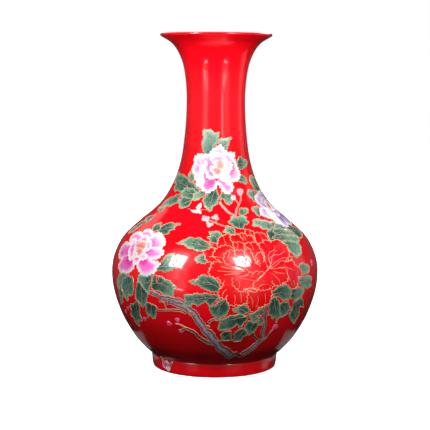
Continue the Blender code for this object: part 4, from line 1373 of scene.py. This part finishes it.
def enamelMesh(name, group, spots, faces, owner, chosen, uppermost):
    # one closed, slightly domed plate for the chosen cells
    mine = np.isin(owner, chosen)
    corners, whose = faces[mine], owner[mine]
    if not len(corners):
        return None
    used, flatIndex = np.unique(corners, return_inverse=True)
    corners = flatIndex.reshape(-1, 3)
    chart = spots[used]
    touching = np.unique(np.stack([corners.ravel(), np.repeat(whose, 3)], axis=1), axis=0)
    shared = np.bincount(touching[:, 0], minlength=len(used)) > 1
    ends = np.vstack([corners[:, [0, 1]], corners[:, [1, 2]], corners[:, [2, 0]]])
    ordered, count = np.unique(np.sort(ends, axis=1), axis=0, return_counts=True)
    borderKeys = {tuple(e) for e in ordered[count == 1]}
    border = [e for e in ends.tolist() if (min(e), max(e)) in borderKeys]
    shared[[i for e in border for i in e]] = True
    tree = KDTree(int(shared.sum()))
    base = chartToBody(chart, 0.0)
    for i, p in enumerate(base[shared]):
        tree.insert(p, i)
    tree.balance()
    depth = np.array([tree.find(p)[2] for p in base]) / mm
    lift = enamel["lift"] + enamel["dome"] * (1 - np.exp(-(depth / 1.4) ** 2))
    top = onBody(chart[:, 0] / chartRadius, chart[:, 1], lift)
    bottom = onBody(chart[:, 0] / chartRadius, chart[:, 1], -enamel["sunk"])
    size = len(used)
    # triangles run anticlockwise in the chart, which faces outwards on the body
    walls = [(a, a + size, b + size, b) for a, b in border]
    allFaces = corners.tolist() + (corners[:, ::-1] + size).tolist() + walls
    mesh = bpy.data.meshes.new(name)
    mesh.from_pydata(np.vstack([top, bottom]).tolist(), [], allFaces)
    names = []
    for index in chosen:
        if group[index]["finish"] and group[index]["finish"] not in names:
            names.append(group[index]["finish"])
    for finish in names:
        mesh.materials.append(finishes[finish])
    slots = np.zeros(len(allFaces), int)
    slots[:len(corners)] = [names.index(group[i]["finish"]) for i in whose]
    mesh.polygons.foreach_set("material_index", slots)
    smooth = np.zeros(len(allFaces), bool)
    smooth[:len(corners)] = True
    mesh.polygons.foreach_set("use_smooth", smooth)
    flow = np.zeros((len(mesh.loops), 2))
    deep = np.zeros((len(mesh.loops), 2))
    loopOwner = np.repeat(whose, 3)
    loopPoint = corners.ravel()
    for index in np.unique(whose):
        picked = np.where(loopOwner == index)[0]
        mineOnly = np.unique(loopPoint[picked])
        over = chart[mineOnly[uppermost[used[mineOnly]] > index]]
        flow[picked], deep[picked] = cellCoordinates(group[index], chart[loopPoint[picked]], over)
    mesh.uv_layers.new(name="flow").data.foreach_set("uv", flow.ravel())
    mesh.uv_layers.new(name="depth").data.foreach_set("uv", deep.ravel())
    mesh.validate()
    mesh.update()
    return newPiece(name, mesh)


def visibleRuns(chart, hidden):
    # the stretches of a line that show, each with at least four points
    runs, start = [], None
    for i, covered in enumerate([*hidden, True]):
        if not covered and start is None:
            start = i
        if covered and start is not None:
            if i - start >= 4:
                runs.append(chart[max(0, start - 1):i + 1])
            start = None
    return runs


def wireRuns(group):
    # visible wire lines by piece: (chart points, gauge)
    byPiece = {}

    def addRuns(piece, place, drawn, gauge, above):
        chart = toChart(place, drawn)
        for run in visibleRuns(chart, coveredBy(chart, above)):
            byPiece.setdefault(piece, []).append((run, gauge))

    for index, cell in enumerate(group):
        if cell["wired"]:
            gauge = gauges["scarletEdge" if cell["finish"] == "scarletEnamel" else "edge"]
            addRuns(cell["piece"], cell["place"], cell["rim"], gauge, group[index + 1:])
    for cell, drawn, gauge, piece, place in strokes:
        under = [i for i, c in enumerate(group) if (c is cell if cell else c["piece"] == piece)]
        if under:
            addRuns(piece, place, drawn, gauge, group[under[-1] + 1:])
    return byPiece


wire = {
    "width": 0.50,   # mm
    "centre": 0.20,   # height of its middle above the glaze, mm
    "facets": 5,
    "tapersBelow": 0.9,   # finer lines than this gauge run out thin
}


def wireTree():
    # drawn wire: a round section swept along every edge of the line mesh
    tree = bpy.data.node_groups.new("drawnWire", "GeometryNodeTree")
    face = tree.interface
    face.new_socket("Geometry", in_out="INPUT", socket_type="NodeSocketGeometry")
    face.new_socket("Wire Width", in_out="INPUT", socket_type="NodeSocketFloat")
    face.new_socket("Facets", in_out="INPUT", socket_type="NodeSocketInt")
    face.new_socket("Finish", in_out="INPUT", socket_type="NodeSocketMaterial")
    face.new_socket("Geometry", in_out="OUTPUT", socket_type="NodeSocketGeometry")
    start = tree.nodes.new("NodeGroupInput").outputs
    section = node(tree, "GeometryNodeCurvePrimitiveCircle", {"Resolution": start["Facets"]}, mode="RADIUS")
    half = times(tree, start["Wire Width"], 0.5)
    tree.links.new(half, section.inputs["Radius"])
    path = node(tree, "GeometryNodeMeshToCurve", {0: start["Geometry"]})
    gauge = node(tree, "GeometryNodeInputNamedAttribute", {0: "gauge"}, data_type="FLOAT")
    sized = node(tree, "GeometryNodeSetCurveRadius", {0: path.outputs[0], "Radius": gauge.outputs[0]})
    swept = node(tree, "GeometryNodeCurveToMesh", {0: sized.outputs[0], 1: section.outputs[0]})
    if "Scale" in swept.inputs:
        tree.links.new(gauge.outputs[0], swept.inputs["Scale"])
    swept.inputs["Fill Caps"].default_value = True
    smooth = node(tree, "GeometryNodeSetShadeSmooth", {0: swept.outputs[0]})
    real = node(tree, "GeometryNodeRealizeInstances", {0: smooth.outputs[0]})
    coated = node(tree, "GeometryNodeSetMaterial", {0: real.outputs[0], "Material": start["Finish"]})
    end = tree.nodes.new("NodeGroupOutput")
    tree.links.new(coated.outputs[0], end.inputs[0])
    return tree


def throughNodes(name, source, tree, values):
    # the source mesh through a node tree, as a plain mesh
    guide = newPiece(name + "Guide", source)
    modifier = guide.modifiers.new("nodes", "NODES")
    modifier.node_group = tree
    for item in tree.interface.items_tree:
        if item.in_out == "INPUT" and item.name in values:
            modifier[item.identifier] = values[item.name]
    depsgraph = bpy.context.evaluated_depsgraph_get()
    mesh = bpy.data.meshes.new_from_object(guide.evaluated_get(depsgraph))
    guide.modifiers.remove(modifier)
    bpy.data.objects.remove(guide)
    mesh.name = name
    return newPiece(name, mesh)


drawnWire = wireTree()


def makeWires(name, runs, finish):
    points, edges, widths = [], [], []
    for chart, gauge in runs:
        start = len(points)
        points.extend(onBody(chart[:, 0] / chartRadius, chart[:, 1], wire["centre"]).tolist())
        edges.extend((start + i, start + i + 1) for i in range(len(chart) - 1))
        taper = np.full(len(chart), gauge)
        if gauge < wire["tapersBelow"]:
            taper *= np.interp(np.linspace(0, 1, len(chart)), [0, 0.5, 1], [1, 0.95, 0.6])
        widths.extend(taper)
    lines = bpy.data.meshes.new(name + "Lines")
    lines.from_pydata(points, edges, [])
    lines.attributes.new("gauge", "FLOAT", "POINT").data.foreach_set("value", np.array(widths, np.float32))
    values = {"Wire Width": wire["width"] * mm, "Facets": wire["facets"], "Finish": finish}
    return throughNodes(name, lines, drawnWire, values)


def both(*motifs):
    return [m + "_inlay" for m in motifs], [m + "_wire" for m in motifs]


# visual piece: its slot, its wires' finish, and the motifs of the frame it stands for
decoration = {
    "redPeony": ("scarlet_enamel", "roseGilt", ["red_peony"]),
    "pinkPeony": ("pink_enamel", "paleGilt", ["pink_peony"]),
    "topPeony": ("pale_enamel", "paleGilt", ["top_peony"]),
    "lilacPeony": ("lilac_enamel", "paleGilt", ["lilac_peony"]),
    "backPeony": ("pink_enamel", "paleGilt", ["back_peony"]),
    "neckLeaves": ("leaf_enamel", "giltWire", ["neck_leaf_left", "neck_leaf_right", "throat_leaf_right"]),
    "throatLeaves": ("leaf_enamel", "giltWire", ["throat_leaf_left"]),
    "collarLeaves": ("leaf_enamel", "giltWire", ["collar_leaf", "shoulder_leaf"]),
    "shoulderLeaves": ("leaf_enamel", "giltWire", ["centre_leaf"]),
    "shoulderLeavesRight": ("leaf_enamel", "giltWire", ["shoulder_leaf_right"]),
    "cheekLeaves": ("leaf_enamel", "giltWire", ["cheek_leaf", "outer_leaf_left"]),
    "peonySideLeaf": ("leaf_enamel", "giltWire", ["belly_leaf_middle"]),
    "leftLeaves": ("leaf_enamel", "giltWire", ["belly_leaf_left", "low_leaf_left"]),
    "centreLeaf": ("leaf_enamel", "giltWire", ["centre_low_leaf"]),
    "rootLeaves": ("leaf_enamel", "giltWire", ["root_leaf", "root_leaf_right"]),
    "rightLeaves": ("leaf_enamel", "giltWire", ["hip_leaf_right", "edge_leaf_right"]),
    "backLeaves": ("leaf_enamel", "giltWire", ["back_leaf_left", "back_leaf_right"]),
    "mainBranch": ("bark_enamel", "giltWire", ["main_branch"]),
    "sideTwigs": ("bark_enamel", "giltWire", ["side_branch"]),
    "upperTwigs": ("bark_enamel", "giltWire", []),
    "backBranch": ("bark_enamel", "giltWire", ["back_branch"]),
    "blossomBuds": ("pink_enamel", "giltWire", []),
    "butterfly": ("pale_enamel", "paleGilt", []),
    "footSprig": ("pink_enamel", "paleGilt", []),
}


def makeDecoration():
    front = [c for c in cells if not c["piece"].startswith("back")]
    back = [c for c in cells if c["piece"].startswith("back")]
    for group in (front, back):
        spots, faces, owner = triangulate(group)
        print("cells triangulated:", len(faces), "faces")
        uppermost = np.full(len(spots), -1)
        np.maximum.at(uppermost, faces.ravel(), np.repeat(owner, 3))
        runs = wireRuns(group)
        for name, (slotName, finish, motifs) in decoration.items():
            chosen = [i for i, c in enumerate(group) if c["piece"] == name]
            if not chosen:
                continue
            inlays, wires = both(*motifs)
            plate = enamelMesh(name + "Enamel", group, spots, faces, owner, chosen, uppermost)
            keep(plate, slotName, *inlays)
            if name in runs:
                keep(makeWires(name + "Wire", runs[name], finishes[finish]), "gilt_wire", *wires)
            print("made", name, len(plate.data.polygons), "faces")


makeDecoration()


anthers = {
    "size": 0.42,   # radius, mm
    "vary": (0.7, 1.25),
    "centre": 0.45,   # height above the glaze, mm
    "crowding": 0.55,
    "seed": 4,
    "spots": [
        # azimuth, height (mm), middle, spread (mm), how many
        ((25, 113.5), (-2.5, 11), (2.6, 3.6), 30),
        ((25, 113.5), (9.5, 4.5), (3.0, 2.0), 12),
        ((-27, 110), (2, 16), (3.0, 2.6), 14),
        ((3, 207), (1, 6), (3.4, 2.6), 16),
    ],
}


def antherTree():
    # a small dot on each point
    tree = bpy.data.node_groups.new("anthers", "GeometryNodeTree")
    tree.interface.new_socket("Geometry", in_out="INPUT", socket_type="NodeSocketGeometry")
    tree.interface.new_socket("Dot Radius", in_out="INPUT", socket_type="NodeSocketFloat")
    tree.interface.new_socket("Finish", in_out="INPUT", socket_type="NodeSocketMaterial")
    tree.interface.new_socket("Geometry", in_out="OUTPUT", socket_type="NodeSocketGeometry")
    start = tree.nodes.new("NodeGroupInput").outputs
    dot = node(tree, "GeometryNodeMeshIcoSphere", {"Radius": start["Dot Radius"], "Subdivisions": 2})
    vary = node(tree, "FunctionNodeRandomValue", {"Seed": anthers["seed"]}, data_type="FLOAT")
    vary.inputs[2].default_value, vary.inputs[3].default_value = anthers["vary"]
    placed = node(tree, "GeometryNodeInstanceOnPoints", {
        "Points": start["Geometry"], "Instance": dot.outputs["Mesh"], "Scale": vary.outputs[1]})
    real = node(tree, "GeometryNodeRealizeInstances", {0: placed.outputs[0]})
    coated = node(tree, "GeometryNodeSetMaterial", {0: real.outputs[0], "Material": start["Finish"]})
    end = tree.nodes.new("NodeGroupOutput")
    tree.links.new(coated.outputs[0], end.inputs[0])
    return tree


def makeAnthers():
    # tiny gold dots standing in the hearts
    rng = np.random.default_rng(anthers["seed"])
    points = []
    for place, middle, spread, count in anthers["spots"]:
        for k in range(count):
            off = rng.normal(size=2).clip(-1.8, 1.8) * anthers["crowding"]
            flat = np.array(middle) + np.array(spread) * off
            points.append(chartToBody(toChart(place, flat[None, :]), anthers["centre"])[0])
    mesh = bpy.data.meshes.new("anthers")
    mesh.from_pydata([tuple(p) for p in points], [], [])
    values = {"Dot Radius": anthers["size"] * mm, "Finish": finishes["paleGilt"]}
    return keep(throughNodes("peonyAnthers", mesh, antherTree(), values), "pale_enamel")


makeAnthers()
print("anthers set")


studio = {
    "lens": 103.2, "sensor": 36.0,   # mm
    "camera": (0.0, -1.297, 0.309),
    "tiltDown": 6.57,   # degrees
    "lean": -0.0063,   # radians
    "shift": (-0.0025, 0.0006),
    "aim": (0.0, 0.0, 0.13),   # what the panels stand round
    "reflected": [
        # azimuth, elevation, width, height (degrees), distance (m), radiance; seen in the gloss only
        ("keyLeft", -45.5, 32.5, 15, 18, 1.5, 25.0),
        ("keyRight", 33, 34, 15, 15, 1.5, 25.0),
        ("glowLeft", -41, 12, 6, 20, 1.5, 0.7),
        ("glowRight", 25, 12, 7, 22, 1.5, 1.3),
        ("wideGlowLeft", -41, 6, 24, 34, 1.52, 0.30),
        ("wideGlowRight", 36, 6, 34, 34, 1.52, 0.22),
        ("tallGlowLeft", -41, -2, 20, 56, 1.54, 0.16),
        ("tallGlowRight", 34, -2, 30, 56, 1.54, 0.12),
        ("cardRight", 108, 8, 22, 70, 1.4, 0.28),
        ("cardShoulder", -147, 30, 20, 16, 1.5, 0.45),
        ("backBox", 152, 34, 15, 15, 1.5, 10.0),
    ],
    "matte": [
        # the same figures; these shade the colours and stay out of the gloss
        ("liftLeft", -40, 42, 30, 22, 1.5, 14.5),
        ("liftRight", 35, 42, 30, 22, 1.5, 14.5),
        ("liftBack", 180, 36, 44, 26, 1.5, 9.0),
        ("fillBack", 180, 4, 30, 20, 1.5, 2.2),
    ],
    "floorCards": [
        # middle x, middle y, width, depth (m), radiance: they catch the lower sides of the belly
        ("cardLowLeft", -0.100, 0.030, 0.040, 0.08, 0.16),
        ("cardLowLeftCore", -0.093, 0.026, 0.020, 0.05, 0.22),
        ("cardLowRight", 0.102, 0.020, 0.044, 0.08, 0.16),
        ("cardLowRightCore", 0.094, 0.016, 0.022, 0.05, 0.22),
        ("sparkLeft", -0.318, -0.427, 0.12, 0.035, 11.0),
        ("sparkRight", 0.304, -0.436, 0.12, 0.035, 11.0),
    ],
    "neckFills": {
        "from": [(-0.66, -0.76, 0.03), (0.52, -0.86, 0.03)], "at": (0.0, -0.02, 0.318),
        "cone": 13.0, "energy": 62.0, "softness": 0.12,
    },
    "sky": [
        (0.0, (0.01, 0.01, 0.01)), (0.22, (0.02, 0.02, 0.02)), (0.46, (0.14, 0.14, 0.145)),
        (0.56, (0.16, 0.16, 0.165)), (0.70, (0.05, 0.05, 0.05)), (1.0, (0.03, 0.03, 0.03)),
    ],
    "skyBehind": 0.4,   # its strength at the back
    "roomRadius": 4.0,
    "floorGlow": (0.62, 1.1),   # near the foot, and far off
}


def makeCamera():
    camera = bpy.data.objects.new("camera", bpy.data.cameras.new("camera"))
    camera.data.lens = studio["lens"]
    camera.data.sensor_width = studio["sensor"]
    camera.location = studio["camera"]
    camera.rotation_euler = (math.radians(90 - studio["tiltDown"]), studio["lean"], 0)
    camera.data.shift_x, camera.data.shift_y = studio["shift"]
    scene.collection.objects.link(camera)
    scene.camera = camera


def hang(light, location, way, glossy, diffuse):
    lamp = bpy.data.objects.new(light.name, light)
    lamp.location = location
    lamp.rotation_euler = way.to_track_quat("Z", "Y").to_euler()
    lamp.visible_camera = False
    lamp.visible_glossy = glossy
    lamp.visible_diffuse = diffuse
    scene.collection.objects.link(lamp)


def panel(name, wide, high, radiance, location, way, matte=False):
    light = bpy.data.lights.new(name, "AREA")
    light.shape = "RECTANGLE"
    light.size, light.size_y = wide, high
    light.energy = radiance * math.pi * wide * high
    hang(light, location, way, not matte, matte)


def makeLights():
    aim = Vector(studio["aim"])
    for kind in ("reflected", "matte"):
        for name, azimuth, elevation, wide, high, distance, radiance in studio[kind]:
            a, e = math.radians(azimuth), math.radians(elevation)
            way = Vector((math.sin(a) * math.cos(e), -math.cos(a) * math.cos(e), math.sin(e)))
            wide = 2 * distance * math.tan(math.radians(wide / 2))
            high = 2 * distance * math.tan(math.radians(high / 2))
            panel(name, wide, high, radiance, aim + distance * way, way, kind == "matte")
    for name, x, y, wide, deep, radiance in studio["floorCards"]:
        panel(name, wide, deep, radiance, (x, y, 0.0005), Vector((0, 0, -1)))
    fill = studio["neckFills"]
    for k, spot in enumerate(fill["from"]):
        light = bpy.data.lights.new(f"neckFill{k}", "SPOT")
        light.energy = fill["energy"]
        light.spot_size = math.radians(fill["cone"])
        light.spot_blend = 1.0
        light.shadow_soft_size = fill["softness"]
        hang(light, spot, Vector(spot) - Vector(fill["at"]), False, True)


def makeWorld():
    world = bpy.data.worlds.new("studio")
    world.use_nodes = True
    scene.world = world
    tree = world.node_tree
    up = node(tree, "ShaderNodeSeparateXYZ", {0: node(tree, "ShaderNodeTexCoord").outputs["Generated"]})
    sky = ramp(tree, ranged(tree, up.outputs[2], -1.0, 1.0), studio["sky"])
    behind = ranged(tree, up.outputs[1], -0.1, 0.55, (1.0, studio["skyBehind"]))
    tree.links.new(sky, tree.nodes["Background"].inputs[0])
    tree.links.new(behind, tree.nodes["Background"].inputs[1])


def stageMesh(name, shape):
    mesh = bpy.data.meshes.new(name)
    shape.to_mesh(mesh)
    shape.free()
    return newPiece(name, mesh)


def makeFloor():
    # pale paper that glows a little, and more the further off
    disc = bmesh.new()
    bmesh.ops.create_circle(disc, cap_ends=True, segments=96, radius=studio["roomRadius"])
    floor = stageMesh("studioFloor", disc)
    floor.location.z = -0.0002
    paper, tree, shader, place = startMaterial("paper", 0.8, 0.0)
    colour = mixed(tree, noise(tree, place, 500.0, 3.0), (0.90, 0.90, 0.90), (0.94, 0.94, 0.94))
    away = node(tree, "ShaderNodeVectorMath", {0: place}, operation="LENGTH").outputs["Value"]
    finishMaterial(tree, shader, colour, noise(tree, place, 900.0), 0.00005)
    shader.inputs["Emission Color"].default_value = (1, 1, 1, 1)
    tree.links.new(ranged(tree, away, 0.12, 1.0, studio["floorGlow"]), shader.inputs["Emission Strength"])
    floor.data.materials.append(paper)
    return floor


def makeSurround():
    ball = bmesh.new()
    bmesh.ops.create_uvsphere(ball, u_segments=64, v_segments=32, radius=studio["roomRadius"])
    bmesh.ops.reverse_faces(ball, faces=ball.faces)
    dome = stageMesh("studioSurround", ball)
    white = bpy.data.materials.new("surround")
    white.use_nodes = True
    shader = white.node_tree.nodes["Principled BSDF"]
    shader.inputs["Base Color"].default_value = (0, 0, 0, 1)
    shader.inputs["Specular IOR Level"].default_value = 0.0
    shader.inputs["Emission Color"].default_value = (1, 1, 1, 1)
    shader.inputs["Emission Strength"].default_value = 1.0
    dome.data.materials.append(white)
    dome.visible_shadow = False
    return dome


makeCamera()
makeLights()
makeWorld()
for staged in (makeFloor(), makeSurround()):
    # neither lights the glaze nor shows in it
    staged.visible_diffuse = False
    staged.visible_glossy = False
    staged.visible_transmission = False
scene.view_settings.view_transform = "Standard"
scene.view_settings.look = "None"
print("studio set")
